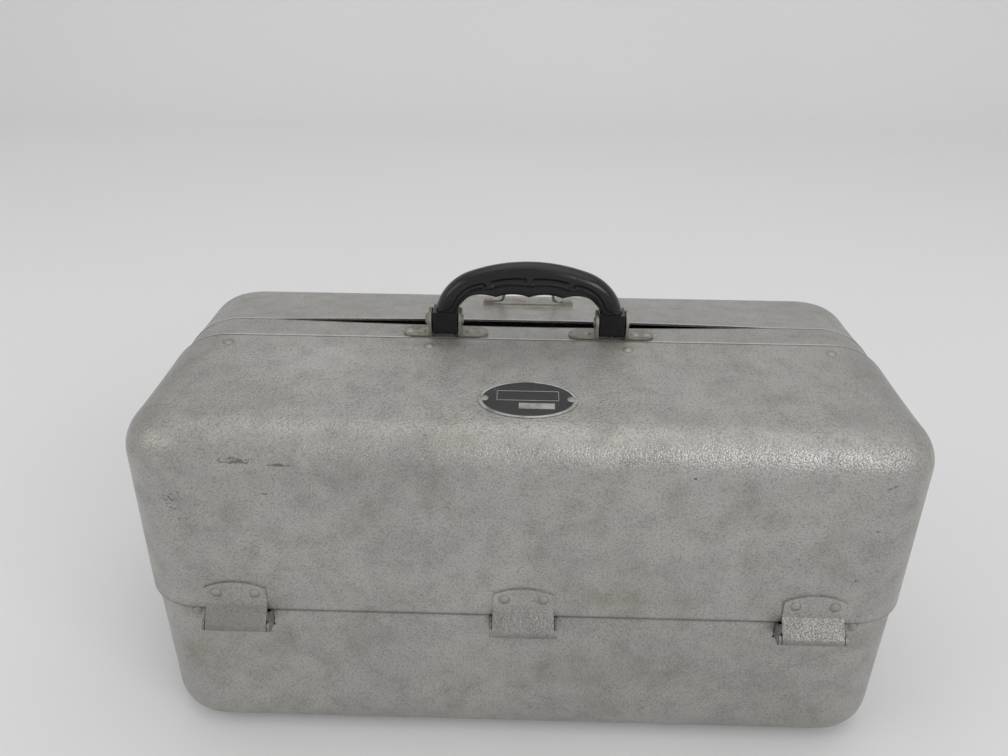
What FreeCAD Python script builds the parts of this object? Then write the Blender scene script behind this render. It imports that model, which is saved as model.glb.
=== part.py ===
import FreeCAD, Part
import Sketcher
import math
import os
import re

# Tackle box of pressed sheet with two lids that meet along the top.
# Frame: X along the length, the front faces -Y, Z up, origin at the middle of the base.

SIZES = {
    # Sheet and fits
    "sheet": 1.3,
    "running_fit": 0.1,
    "plate_gap": 0.5,
    "overrun": 2.0,
    # Lids
    "lid_length": 457.0,
    "lid_depth": 219.0,
    "lid_corner": 38.0,
    "parting_height": 104.0,
    "lid_rise": 116.0,
    "roof_angle": 8.3,
    "front_shoulder": 23.0,
    "end_shoulder": 32.0,
    "middle_shoulder": 43.0,
    "front_lid_edge": 9.0,
    # Bowed gap between the strip and the rear lid
    "gap_margin": 68.5,
    "gap_middle": -5.0,
    "gap_front": 12.8,
    "gap_rear": 26.5,
    # Tub
    "rim_play": 1.7,
    "rim_overlap": 2.5,
    "tub_draft": 1.0,
    "base_round": 24.0,
    # Lip strip
    "strip_lap": 13.0,
    "strip_rear": 18.5,
    "strip_lift": 3.5,
    "strip_play": 0.4,
    "layer_gap": 0.05,
    # Rivets
    "rivet_shank": 1.6,
    "rivet_head": 2.8,
    "rivet_dome": 0.9,
    "rivet_clench": 0.8,
    "tail_ratio": 0.8,
    "strip_rivet_inner": 60.5,
    "strip_rivet_margin": 45.0,
    "strip_rivet_step": 9.0,
    "end_rivet_step": 14.0,
    "end_rivet_drop": 34.0,
    # Hinges
    "hinge_margin": 61.5,
    "hinge_reach": 6.0,
    "hinge_drop": 7.5,
    "hinge_pin": 2.2,
    "leaf_sheet": 1.2,
    "leaf_width": 35.6,
    "crease_rise": 4.4,
    "crease_bend": 0.5,
    "leaf_rise": 20.0,
    "leaf_arch": 37.5,
    "leaf_rivet_x": 11.2,
    "leaf_rivet_rise": 12.5,
    "curl_end": 1.2,
    "ear_sheet": 1.4,
    "ear_gap": 0.6,
    "ear_round": 3.4,
    "ear_pin_over": 0.1,
    "ear_top_play": 0.3,
    "notch_play": 0.25,
    "notch_drop": 6.5,
    "seat_length": 20.0,
    "seat_rise": 2.5,
    # Nameplate
    "plate_long": 56.4,
    "plate_short": 33.9,
    "plate_sheet": 0.8,
    "plate_inset": 39.2,
    "plate_rivet_x": 24.5,
    "plate_rivet_head": 2.5,
    "plate_rivet_dome": 0.8,
    "plate_rivet_shank": 1.2,
    # Handle
    "grip_half": 58.4,
    "grip_rise": 38.3,
    "grip_crown": 103.2,
    "grip_turn": 33.8,
    "grip_leg": 14.6,
    "grip_inner_rise": 16.0,
    "grip_inner_crown": 1500.0,
    "grip_inner_turn": 11.0,
    "grip_depth": 14.4,
    "grip_y": 1.0,
    "grip_pivot_rise": 9.7,
    "grip_round": 6.0,
    "block_step": 1.0,
    "block_rise": 7.0,
    "block_depth": 13.4,
    "block_round": 9.2,
    "nub_spacing": 20.0,
    "scallop_rise": 2.0,
    "handle_pin": 2.0,
    "pin_head": 4.6,
    "pin_head_dome": 3.0,
    "pin_head_rim": 0.4,
    "pin_head_flat": 0.5,
    "pin_peen": 2.8,
    "pin_peen_height": 1.0,
    # Handle brackets
    "bracket_sheet": 1.6,
    "bracket_width": 15.0,
    "bracket_play": 0.6,
    "foot_length": 18.0,
    "foot_rivet_near": 5.0,
    "foot_rivet_far": 12.4,
    # Latch bail
    "bail_wire": 1.0,
    "bail_y": 68.5,
    "bail_reach": 69.0,
    "bail_base_half": 18.0,
    "bail_top_half": 13.5,
    "bail_foot_half": 30.0,
    "bail_bend": 5.0,
    "bail_gap": 0.5,
    "latch_half": 31.0,
    "latch_rear": 15.0,
    "latch_arch": 75.0,
    "latch_sheet": 0.8,
    "latch_tube": 1.7,
    "latch_tube_long": 7.0,
    "latch_rivet_x": 14.0,
    "latch_rivet_y": 7.5,
    "latch_rivet_head": 2.2,
    "latch_rivet_dome": 0.5,
    "latch_rivet_shank": 1.3,
    # Trays
    "tray_end_room": 20.5,
    "tray_side_room": 10.5,
    "tray_head_room": 29.0,
    "tray_rear": 8.0,
    "tray_corner": 9.0,
    "tray_gap": 1.5,
    "tray_lift": 4.5,
    "tray_sheet": 1.0,
    "divider_drop": 4.5,
    "tray_pivot_rise": 13.0,
    # Tray arms
    "arm_sheet": 2.0,
    "arm_width": 9.0,
    "arm_inset": 19.8,
    "arm_drop": 5.0,
    "arm_head_y": 17.318,
    "inner_arm_step": 26.0,
    "outer_arm_step": 25.0,
    "pivot_stud": 2.0,
    "pivot_head": 3.4,
    "pivot_head_height": 0.8,
    # Arm brackets
    "arm_bracket_sheet": 1.8,
    "arm_bracket_inset": 8.0,
    "arm_bracket_flange": 12.0,
    "arm_bracket_rivet_step": 8.0,
    "arm_bracket_rivet_rise": 0.5,
    "arm_bracket_below": 9.0,
    "arm_bracket_above": 5.0,
    "arm_bracket_past": 5.0,
    # Lid links
    "link_sheet": 1.6,
    "link_width": 8.4,
    "link_inset": 3.63,
    "link_rise": 32.34,
    "link_drive": 19.04,
    "link_slot_end": 60.92,
    "link_slot_over": 0.6,
    "link_slot_gap": 0.45,
    "link_tip": 1.4,
    "drive_stud": 2.0,
    "drive_head_lap": 1.0,
    "link_post": 3.4,
}

DIVIDERS = 3
TRAYS = 3
FRONT = -1
REAR = 1
X_AXIS = FreeCAD.Vector(1, 0, 0)
Y_AXIS = FreeCAD.Vector(0, 1, 0)
Z_AXIS = FreeCAD.Vector(0, 0, 1)
ORIGIN = FreeCAD.Vector(0, 0, 0)

# Sizes that follow from the driving ones
DERIVED = {
    "shoulder_height": "parting_height + lid_rise",
    "rear_lid_edge": "strip_rear + strip_play",
    "gap_half": "lid_length / 2 - gap_margin",
    "gap_front_radius": "gap_half ^ 2 / (2 * (strip_rear - gap_front))",
    "gap_rear_radius": "gap_half ^ 2 / (2 * (gap_rear - rear_lid_edge))",
    "tub_length": "lid_length - 2 * rim_play",
    "tub_depth": "lid_depth - 2 * rim_play",
    "tub_height": "parting_height + rim_overlap",
    "strip_bottom": "parting_height + strip_lift",
    "strip_front": "front_lid_edge + strip_lap",
    "strip_rivet_row": "front_lid_edge + strip_rivet_step",
    "strip_rivet_outer": "lid_length / 2 - strip_rivet_margin",
    "end_rivet_low": "parting_height + end_rivet_step",
    "end_rivet_high": "shoulder_height - end_rivet_drop",
    "hinge_spacing": "lid_length / 2 - hinge_margin",
    "hinge_y": "lid_depth / 2 + hinge_reach",
    "hinge_z": "parting_height - hinge_drop",
    "leaf_crease": "parting_height + crease_rise",
    "leaf_top": "parting_height + leaf_rise",
    "leaf_rivet_z": "parting_height + leaf_rivet_rise",
    "ear_half": "leaf_width / 2 + ear_gap + ear_sheet",
    "notch_half": "ear_half + notch_play",
    "notch_bottom": "hinge_z - notch_drop",
    "seat_bottom": "notch_bottom - seat_length",
    "plate_y": "lid_depth / 2 - plate_inset",
    "ledge_height": "shoulder_height + (lid_depth / 2 - front_lid_edge) * tan(roof_angle)"
                    " - (sheet + layer_gap) / cos(roof_angle)",
    "grip_pivot_z": "ledge_height + grip_pivot_rise",
    "grip_top": "grip_pivot_z + grip_rise",
    "grip_inner_top": "grip_pivot_z + grip_inner_rise",
    "grip_inner_half": "grip_half - grip_leg",
    "inner_ear_x": "grip_inner_half - bracket_play",
    "outer_ear_x": "grip_half + block_step + bracket_play",
    "tray_length": "lid_length - 2 * tray_end_room",
    "tray_front": "lid_depth / 2 - tray_side_room",
    "tray_bottom": "parting_height + tray_lift",
    "tray_pitch": f"(shoulder_height - tray_head_room - tray_bottom + tray_gap) / {TRAYS}",
    "tray_height": "tray_pitch - tray_gap",
    "divider_height": "tray_height - divider_drop",
    "arm_face": "tray_length / 2 + plate_gap",
    "arm_pivot_y": "tub_depth / 2 - arm_inset",
    "arm_pivot_z": "parting_height - arm_drop",
    "arm_head_z": f"tray_bottom + {TRAYS - 1} * tray_pitch + tray_pivot_rise",
    "arm_lean": "atan((arm_pivot_y - arm_head_y) / (arm_head_z - arm_pivot_z))",
    "arm_bracket_x": "tray_length / 2 - arm_bracket_inset",
    "arm_bracket_rivet_x": "arm_bracket_x - arm_bracket_rivet_step",
    "arm_bracket_bottom": "arm_pivot_z - arm_bracket_below",
    "arm_bracket_top": "arm_pivot_z + arm_bracket_above",
    "arm_bracket_end": "arm_pivot_y - inner_arm_step - arm_bracket_past",
    "arm_bracket_rivet_z": "arm_pivot_z + arm_bracket_rivet_rise",
    "link_face": "arm_face + arm_sheet + running_fit + pivot_head_height + plate_gap",
    "link_pivot_y": "arm_pivot_y - link_inset",
    "link_pivot_z": "arm_pivot_z + link_rise",
    "drive_y": "link_drive * sin(arm_lean) - arm_pivot_y",
    "drive_z": "arm_pivot_z + link_drive * cos(arm_lean)",
}

doc = FreeCAD.newDocument("tackle_box")
nodes = {}


# Sheet of driving sizes
def make_sheet():
    """Write every driving size into the sheet, each under its own alias."""
    sheet = doc.addObject("Spreadsheet::Sheet", "sizes")
    for row, (alias, number) in enumerate(SIZES.items(), start=1):
        sheet.set(f"A{row}", alias)
        sheet.set(f"B{row}", str(number))
        sheet.setAlias(f"B{row}", alias)
    doc.recompute()
    return sheet


sizes = make_sheet()


def size(text):
    """Work out an expression in the sheet's sizes as a plain number."""
    result = sizes.evalExpression(expression(text))
    return float(getattr(result, "Value", result))


def expression(text):
    """Put the sheet's name before each alias and write derived sizes out in full."""
    def stand_in(match):
        word = match.group()
        if word in DERIVED:
            return f"({expression(DERIVED[word])})"
        return f"sizes.{word}" if word in SIZES else word

    return re.sub(r"[a-z_]+", stand_in, str(text))


def bind(thing, **bindings):
    """Tie properties to expressions; a double underscore stands for a dot."""
    for name, text in bindings.items():
        thing.setExpression(name.replace("__", "."), expression(text))
    return thing


def place(thing, x=0, y=0, z=0, axis=None, turn=None):
    """Tie the thing's place, and its turn about an axis, to expressions."""
    if axis is not None:
        thing.Placement = FreeCAD.Placement(ORIGIN, FreeCAD.Rotation(axis, size(turn)))
        bind(thing, Placement__Rotation__Angle=turn)
    return bind(thing, Placement__Base__x=x, Placement__Base__y=y, Placement__Base__z=z)


def add_node(label, thing):
    """Name a finished sub-part, which is then written to its own file."""
    thing.Label = label
    nodes[label] = thing
    return thing


# Simple solids and booleans
def block(name, x, y, z, at):
    """A box with its low corner at a place."""
    box = bind(doc.addObject("Part::Box", name), Length=x, Width=y, Height=z)
    return place(box, *at)


def rod(name, radius, length, at, axis):
    """A cylinder that starts at a place and runs along an axis."""
    cylinder = bind(doc.addObject("Part::Cylinder", name), Radius=radius, Height=length)
    turns = {"x": (Y_AXIS, 90), "y": (FreeCAD.Vector(-1, 0, 0), 90), "z": (Z_AXIS, 0)}
    direction, angle = turns[axis]
    cylinder.Placement = FreeCAD.Placement(ORIGIN, FreeCAD.Rotation(direction, angle))
    return place(cylinder, *at)


def cut(name, base, tool):
    """The base without the tool."""
    result = doc.addObject("Part::Cut", name)
    result.Base = base
    result.Tool = tool
    return result


def common(name, base, tool):
    """What the base and the tool share."""
    result = doc.addObject("Part::Common", name)
    result.Base = base
    result.Tool = tool
    return result


def fuse(name, pieces):
    """The pieces joined into one solid."""
    result = doc.addObject("Part::MultiFuse", name)
    result.Shapes = pieces
    result.Refine = True
    return result


def group(name, pieces):
    """Separate solids kept together."""
    result = doc.addObject("Part::Compound", name)
    result.Links = pieces
    return result


def mirror(name, source, normal):
    """The source's mirror image in a plane through the origin."""
    result = doc.addObject("Part::Mirroring", name)
    result.Source = source
    result.Base = ORIGIN
    result.Normal = normal
    return result


def pair(name, source):
    """The source at the right end together with its image at the left end."""
    return group(name, [source, mirror(name + "_left", source, X_AXIS)])


def feature(name, shape):
    """A free shape whose sizes this script has read from the sheet."""
    result = doc.addObject("Part::Feature", name)
    result.Shape = shape
    result.Placement = FreeCAD.Placement()
    return result


def round_edges(name, base, chosen):
    """Round edges of the base: chosen gives two end radii for an edge, or none."""
    doc.recompute()
    edges = []
    for number, edge in enumerate(base.Shape.Edges, start=1):
        radii = chosen(edge)
        if radii:
            edges.append((number, radii[0], radii[1]))
    result = doc.addObject("Part::Fillet", name)
    result.Base = base
    result.Edges = edges
    return result


# Rounded pan and lid forms
def plane_of(body, role):
    """One of the body's own origin planes."""
    return next(item for item in body.Origin.OriginFeatures if item.Role == role)


def new_sketch(body, name, role):
    """A sketch on one of the body's own planes."""
    sketch = body.newObject("Sketcher::SketchObject", name)
    sketch.AttachmentSupport = (plane_of(body, role), [""])
    sketch.MapMode = "FlatFace"
    return sketch


def dimension(sketch, kind, name, places, text):
    """Add one named dimension that follows an expression."""
    index = sketch.addConstraint(Sketcher.Constraint(kind, *places, size(text)))
    sketch.renameConstraint(index, name)
    sketch.setExpression(f"Constraints.{name}", expression(text))


def rounded_rectangle(sketch, length, depth, radius):
    """Draw a centred rectangle with round corners."""
    half_x, half_y, turn = size(length) / 2, size(depth) / 2, size(radius)
    near_x, near_y = half_x - turn, half_y - turn
    corners = [(near_x, -near_y), (near_x, near_y), (-near_x, near_y), (-near_x, -near_y)]
    sides = [((-near_x, -half_y), (near_x, -half_y)), ((half_x, -near_y), (half_x, near_y)),
             ((near_x, half_y), (-near_x, half_y)), ((-half_x, near_y), (-half_x, -near_y))]
    for index, (start, end) in enumerate(sides):
        sketch.addGeometry(Part.LineSegment(FreeCAD.Vector(*start, 0), FreeCAD.Vector(*end, 0)), False)
        circle = Part.Circle(FreeCAD.Vector(*corners[index], 0), Z_AXIS, turn)
        start_angle = (index - 1) * math.pi / 2
        sketch.addGeometry(Part.ArcOfCircle(circle, start_angle, start_angle + math.pi / 2), False)
    for index in range(4):
        line, arc, following = 2 * index, 2 * index + 1, (2 * index + 2) % 8
        sketch.addConstraint(Sketcher.Constraint("Tangent", line, 2, arc, 1))
        sketch.addConstraint(Sketcher.Constraint("Tangent", arc, 2, following, 1))
    sketch.addConstraint(Sketcher.Constraint("Horizontal", 4))
    sketch.addConstraint(Sketcher.Constraint("Vertical", 6))
    for arc in (3, 5, 7):
        sketch.addConstraint(Sketcher.Constraint("Equal", 1, arc))
    sketch.addConstraint(Sketcher.Constraint("Symmetric", 0, 1, 0, 2, -2))
    sketch.addConstraint(Sketcher.Constraint("Symmetric", 2, 1, 2, 2, -1))
    dimension(sketch, "DistanceX", "length", (6, 1, 2, 1), length)
    dimension(sketch, "DistanceY", "depth", (0, 1, 4, 1), depth)
    dimension(sketch, "Radius", "corner", (1,), radius)


def rounded_prism(name, length, depth, radius, height, bottom, draft=None, base_round=None):
    """A padded rectangle with round corners, drafted or rounded at its base on request."""
    body = doc.addObject("PartDesign::Body", name)
    sketch = new_sketch(body, name + "_outline", "XY_Plane")
    rounded_rectangle(sketch, length, depth, radius)
    pad = body.newObject("PartDesign::Pad", name + "_pad")
    pad.Profile = sketch
    bind(pad, Length=height)
    if draft is not None:
        bind(pad, TaperAngle=draft)
    if base_round is not None:
        doc.recompute()
        low = [f"Edge{number}" for number, edge in enumerate(pad.Shape.Edges, start=1)
               if edge.BoundBox.ZMax < 0.001]
        fillet = body.newObject("PartDesign::Fillet", name + "_round")
        fillet.Base = (pad, low)
        bind(fillet, Radius=base_round)
    return place(body, z=bottom)


def roof_height(y, inset="0"):
    """Height of the roof plane, lowered by an inset, at a distance from the middle."""
    return (f"(shoulder_height + (lid_depth / 2 - ({y})) * tan(roof_angle)"
            f" - ({inset}) / cos(roof_angle))")


def lid_form(name, inset, bottom, front_edge, rear_edge):
    """The front lid's outside, drawn in by an inset and kept between two distances from the middle."""
    length, depth = f"lid_length - 2 * ({inset})", f"lid_depth - 2 * ({inset})"
    crest = roof_height("0")
    prism = rounded_prism(name + "_prism", length, depth, f"lid_corner - ({inset})",
                          f"{crest} + overrun - ({bottom})", bottom)
    above = place(block(name + "_above", "lid_length + 2 * overrun", "lid_depth", "lid_depth", (0, 0, 0)),
                  "-lid_length / 2 - overrun", "-lid_depth / 2", roof_height("lid_depth / 2", inset),
                  X_AXIS, "roof_angle")
    roofed = cut(name + "_roofed", prism, above)
    slab = block(name + "_slab", "lid_length + 2 * overrun", f"({front_edge}) - ({rear_edge})",
                 f"{crest} + overrun", ("-lid_length / 2 - overrun", f"-({front_edge})", 0))
    kept = common(name + "_kept", roofed, slab)
    return round_shoulders(name, kept, inset)


def round_shoulders(name, kept, inset):
    """Round the roof's rim, tightly along the front, more at the ends and most towards the middle."""
    front, end, middle = (size(f"{part}_shoulder - ({inset})") for part in ("front", "end", "middle"))
    half_length = size(f"lid_length / 2 - ({inset})")
    half_depth = size(f"lid_depth / 2 - ({inset})")
    corner_start = size("lid_depth / 2 - lid_corner")
    slope = math.tan(math.radians(size("roof_angle")))
    start = size(roof_height("lid_depth / 2", inset))
    centre_line = size("lid_depth / 2")

    def radius_at(point):
        if half_length - abs(point.x) > 0.01:
            return front
        return end if abs(point.y) > corner_start - 0.01 else middle

    def chosen(edge):
        ends = [edge.valueAt(edge.FirstParameter), edge.valueAt(edge.LastParameter)]
        halfway = edge.valueAt((edge.FirstParameter + edge.LastParameter) / 2)
        for point in ends + [halfway]:
            if abs(point.z - start - (point.y + centre_line) * slope) > 0.01:
                return None
        if abs(halfway.x) < 1 and abs(halfway.y + half_depth) > 0.01:
            return None
        return radius_at(ends[0]), radius_at(ends[1])

    return round_edges(name, kept, chosen)


# Rivets
def rivet_shape(grip, head, dome, shank, tail, clench):
    """One set rivet along Z: a domed head above zero, its shank and its clenched tail below."""
    ball = (head ** 2 + dome ** 2) / (2 * dome)
    half_turn = math.asin(head / ball) / 2
    middle = FreeCAD.Vector(ball * math.sin(half_turn), 0, dome - ball + ball * math.cos(half_turn))
    crown = Part.Arc(FreeCAD.Vector(head, 0, 0), middle, FreeCAD.Vector(0, 0, dome))
    corners = [(0, dome), (0, -grip - clench), (tail, -grip - clench), (tail, -grip),
               (shank, -grip), (shank, 0), (head, 0)]
    points = [FreeCAD.Vector(x, 0, z) for x, z in corners]
    edges = [Part.LineSegment(a, b).toShape() for a, b in zip(points, points[1:])]
    outline = Part.Wire(edges + [crown.toShape()])
    return Part.Face(outline).revolve(ORIGIN, Z_AXIS, 360)


def rivets(name, places, grip, kind="rivet"):
    """A group of set rivets: each place is a point on the outer face and the way out of it."""
    single = rivet_shape(size(grip), size(f"{kind}_head"), size(f"{kind}_dome"), size(f"{kind}_shank"),
                         size(f"{kind}_head * tail_ratio"), size("rivet_clench"))
    solids = []
    for point, outwards in places:
        solid = single.copy()
        solid.Placement = FreeCAD.Placement(point, FreeCAD.Rotation(Z_AXIS, outwards))
        solids.append(solid)
    return feature(name, Part.makeCompound(solids))


def roof_normal(side):
    """The way out of the front or rear roof."""
    angle = math.radians(size("roof_angle"))
    return FreeCAD.Vector(0, side * math.sin(angle), math.cos(angle))


# Tub
def make_tub():
    """The pan, its hinge brackets and pins, and the brackets that carry the arms."""
    foot_length = "tub_length - 2 * tub_height * tan(tub_draft)"
    foot_depth = "tub_depth - 2 * tub_height * tan(tub_draft)"
    outer = rounded_prism("tub_outer", foot_length, foot_depth, "lid_corner - tub_height * tan(tub_draft)",
                          "tub_height", 0, "tub_draft", "base_round")
    inner = rounded_prism("tub_inner", f"{foot_length} - 2 * sheet", f"{foot_depth} - 2 * sheet",
                          "lid_corner - tub_height * tan(tub_draft) - sheet", "tub_height", "sheet",
                          "tub_draft", "base_round - sheet")
    pan = cut("tub_pan", outer, inner)
    notches = []
    for index in (-1, 0, 1):
        notches.append(block(f"tub_notch_{index + 2}", "2 * notch_half", "lid_depth", "tub_height",
                             (f"{index} * hinge_spacing - notch_half", "-lid_depth / 2", "notch_bottom")))
    notched = cut("tub_notched", pan, group("tub_notches", notches))
    corner_rivets = make_arm_brackets(inner)
    add_node("tub_shell", cut("tub_bored", notched, corner_rivets))
    make_hinge_brackets()


def tub_wall_y(z):
    """Distance from the middle plane to the inner face of the tub's long wall at a height."""
    return f"(tub_depth / 2 - sheet - (tub_height + sheet - ({z})) * tan(tub_draft))"


def make_arm_brackets(cavity):
    """Flanged brackets that fit the cavity's corners, their studs and the rivets through the wall."""
    wall = tub_wall_y("arm_bracket_bottom")
    height = "arm_bracket_top - arm_bracket_bottom"
    web = block("arm_bracket_web", "arm_bracket_sheet", f"{wall} - arm_bracket_end", height,
                ("arm_bracket_x - arm_bracket_sheet", f"-{wall}", "arm_bracket_bottom"))
    flange = block("arm_bracket_flange_plate", "arm_bracket_flange", "arm_bracket_sheet", height,
                   ("arm_bracket_x - arm_bracket_flange", f"-{wall}", "arm_bracket_bottom"))
    bracket = common("arm_bracket", fuse("arm_bracket_solid", [web, flange]), cavity)
    rivet_x = size("arm_bracket_rivet_x")
    rivet_z = size("arm_bracket_rivet_z")
    face = size(tub_wall_y("arm_bracket_rivet_z") + " + sheet")
    places = []
    for side in (FRONT, REAR):
        for end in (-1, 1):
            places.append((FreeCAD.Vector(end * rivet_x, side * face, rivet_z),
                           FreeCAD.Vector(0, side, 0)))
    grip = size("arm_bracket_sheet") + face - size(wall)
    fixings = add_node("arm_bracket_rivets", rivets("arm_bracket_rivet_group", places, grip))
    studs = []
    for index, step in enumerate(("0", "inner_arm_step")):
        studs.append(pivot_stud(f"arm_stud_{index + 1}", "arm_bracket_x", f"-arm_pivot_y + {step}",
                                "arm_pivot_z"))
    stud_pair = pair("arm_stud_front", group("arm_stud_right", studs))
    add_node("arm_studs", group("arm_stud_all", [stud_pair, mirror("arm_stud_rear", stud_pair, Y_AXIS)]))
    holes = [rod(f"arm_bracket_hole_{index + 1}", "pivot_stud", "arm_bracket_sheet + 2 * overrun",
                 ("arm_bracket_x - arm_bracket_sheet - overrun", f"-arm_pivot_y + {step}", "arm_pivot_z"),
                 "x") for index, step in enumerate(("0", "inner_arm_step"))]
    bored = cut("arm_bracket_bored", bracket, group("arm_bracket_holes", holes))
    bracket_pair = pair("arm_bracket_front", bored)
    bracket_all = group("arm_bracket_all", [bracket_pair, mirror("arm_bracket_rear", bracket_pair, Y_AXIS)])
    add_node("arm_brackets", cut("arm_bracket_final", bracket_all, fixings))
    return fixings


def pivot_stud(name, start, y, z):
    """A shouldered stud from a plate out through an arm, with a flat head outside it."""
    spacer = rod(name + "_spacer", "pivot_head", f"arm_face - running_fit - {start}", (start, y, z), "x")
    shank = rod(name + "_shank", "pivot_stud",
                f"arm_face + arm_sheet + 2 * running_fit - {start} + arm_bracket_sheet",
                (f"{start} - arm_bracket_sheet", y, z), "x")
    head = rod(name + "_head", "pivot_head", "pivot_head_height",
               ("arm_face + arm_sheet + running_fit", y, z), "x")
    return fuse(name, [spacer, shank, head])


def make_hinge_brackets():
    """Brackets inside the tub wall whose ears come out through the notches, and the pins."""
    seat = tub_wall_y("seat_bottom")
    back = place(block("hinge_back", "2 * ear_half", "leaf_sheet", "hinge_z + seat_rise - seat_bottom",
                       (0, 0, 0)), "-ear_half", f"-{seat}", "seat_bottom", X_AXIS, "tub_draft")
    ears = []
    for index, start in enumerate(("-ear_half", "ear_half - ear_sheet")):
        arm = doc.addObject("Part::Wedge", f"hinge_ear_arm_{index}")
        bind(arm, Xmin=start, X2min=start, Xmax=f"{start} + ear_sheet", X2max=f"{start} + ear_sheet",
             Ymin="-hinge_y", Ymax=f"leaf_sheet / 2 - {seat}", Zmin="hinge_z - ear_round",
             Zmax="hinge_z + ear_round", Z2min="hinge_z - ear_round",
             Z2max="parting_height - ear_top_play")
        nose = rod(f"hinge_ear_nose_{index}", "ear_round", "ear_sheet", (start, "-hinge_y", "hinge_z"), "x")
        ears += [arm, nose]
    bore = rod("hinge_ear_bore", "hinge_pin", "2 * (ear_half + overrun)",
               ("-ear_half - overrun", "-hinge_y", "hinge_z"), "x")
    single = cut("hinge_bracket", fuse("hinge_bracket_solid", [back] + ears), bore)
    pin = rod("hinge_pin_rod", "hinge_pin", "2 * (ear_half + ear_pin_over)",
              ("-ear_half - ear_pin_over", "-hinge_y", "hinge_z"), "x")
    front = spread("hinge_bracket", single)
    add_node("tub_hinge_brackets_front", front)
    add_node("tub_hinge_brackets_rear", mirror("hinge_bracket_rear", front, Y_AXIS))
    pins = spread("hinge_pin", pin)
    add_node("hinge_pins_front", pins)
    add_node("hinge_pins_rear", mirror("hinge_pin_rear", pins, Y_AXIS))


def spread(name, single):
    """Three of a hinge piece, at the left, in the middle and at the right."""
    pieces = []
    for index in (-1, 0, 1):
        moved = group(f"{name}_at_{index + 2}", [single])
        bind(moved, Placement__Base__x=f"{index} * hinge_spacing")
        pieces.append(moved)
    return group(name + "_three", pieces)


# Lid hinges
def leaf_body():
    """The lid's hinge leaf: a plate on the wall, a slanted web and a curl round the pin."""
    body = doc.addObject("PartDesign::Body", "leaf_body")
    sketch = new_sketch(body, "leaf_outline", "YZ_Plane")
    pin = FreeCAD.Vector(-size("hinge_y"), size("hinge_z"), 0)
    inner = size("hinge_pin + running_fit")
    outer = inner + size("leaf_sheet")
    wall = -size("lid_depth / 2")
    face = wall - size("leaf_sheet")
    crease = FreeCAD.Vector(face, size("leaf_crease"), 0)
    reach = crease - pin
    angle = math.atan2(reach.y, reach.x) + math.acos(outer / reach.Length)
    end = math.asin(size("curl_end") / outer) + 2 * math.pi

    def at(radius, turn):
        return pin + FreeCAD.Vector(radius * math.cos(turn), radius * math.sin(turn), 0)

    inside = FreeCAD.Vector(wall, crease.y - size("crease_bend"), 0)
    top_out, top_in = FreeCAD.Vector(face, size("leaf_top"), 0), FreeCAD.Vector(wall, size("leaf_top"), 0)
    geometry = [
        Part.LineSegment(top_out, crease),
        Part.LineSegment(crease, at(outer, angle)),
        Part.ArcOfCircle(Part.Circle(pin, Z_AXIS, outer), angle, end),
        Part.LineSegment(at(outer, end), at(inner, end)),
        Part.ArcOfCircle(Part.Circle(pin, Z_AXIS, inner), angle, end),
        Part.LineSegment(at(inner, angle), inside),
        Part.LineSegment(inside, top_in),
        Part.LineSegment(top_in, top_out),
    ]
    sketch.addGeometry(geometry, False)
    joints = [("Coincident", 0, 2, 1, 1), ("Tangent", 1, 2, 2, 1), ("Coincident", 2, 2, 3, 1),
              ("Coincident", 3, 2, 4, 2), ("Tangent", 4, 1, 5, 1), ("Coincident", 5, 2, 6, 1),
              ("Coincident", 6, 2, 7, 1), ("Coincident", 7, 2, 0, 1), ("Coincident", 2, 3, 4, 3),
              ("Vertical", 0), ("Vertical", 6), ("Horizontal", 7), ("Parallel", 1, 5),
              ("PointOnObject", 2, 3, 3)]
    for joint in joints:
        sketch.addConstraint(Sketcher.Constraint(*joint))
    dimension(sketch, "DistanceX", "pin_y", (-1, 1, 2, 3), "-hinge_y")
    dimension(sketch, "DistanceY", "pin_z", (-1, 1, 2, 3), "hinge_z")
    dimension(sketch, "Radius", "outside", (2,), "hinge_pin + running_fit + leaf_sheet")
    dimension(sketch, "Radius", "inside", (4,), "hinge_pin + running_fit")
    dimension(sketch, "DistanceX", "wall", (-1, 1, 6, 1), "-lid_depth / 2")
    dimension(sketch, "DistanceX", "sheet", (7, 2, 7, 1), "leaf_sheet")
    dimension(sketch, "DistanceY", "crease", (-1, 1, 1, 1), "leaf_crease")
    dimension(sketch, "DistanceY", "top", (-1, 1, 7, 1), "leaf_top")
    dimension(sketch, "DistanceY", "curl", (2, 3, 2, 2), "curl_end")
    pad = body.newObject("PartDesign::Pad", "leaf_pad")
    pad.Profile = sketch
    pad.Midplane = True
    bind(pad, Length="leaf_width")
    return body


def make_lid_hinges():
    """The lids' hinge leaves and rivets; gives back the rivets, front and rear."""
    arch = rod("leaf_arch_rod", "leaf_arch", "lid_depth", (0, "-lid_depth", "leaf_top - leaf_arch"), "y")
    arched = common("leaf_arched", leaf_body(), arch)
    three = spread("leaf", arched)
    face = size("lid_depth / 2 + leaf_sheet")
    places = []
    for index in (-1, 0, 1):
        for side in (-1, 1):
            x = index * size("hinge_spacing") + side * size("leaf_rivet_x")
            places.append((FreeCAD.Vector(x, -face, size("leaf_rivet_z")), -Y_AXIS))
    front_rivets = rivets("leaf_rivet_group", places, "leaf_sheet + sheet")
    rear_rivets = mirror("leaf_rivet_rear", front_rivets, Y_AXIS)
    front = cut("leaf_front", three, front_rivets)
    add_node("front_hinge_leaves", front)
    add_node("rear_hinge_leaves", mirror("leaf_rear", front, Y_AXIS))
    add_node("front_hinge_rivets", front_rivets)
    add_node("rear_hinge_rivets", rear_rivets)
    return front_rivets, rear_rivets


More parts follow.
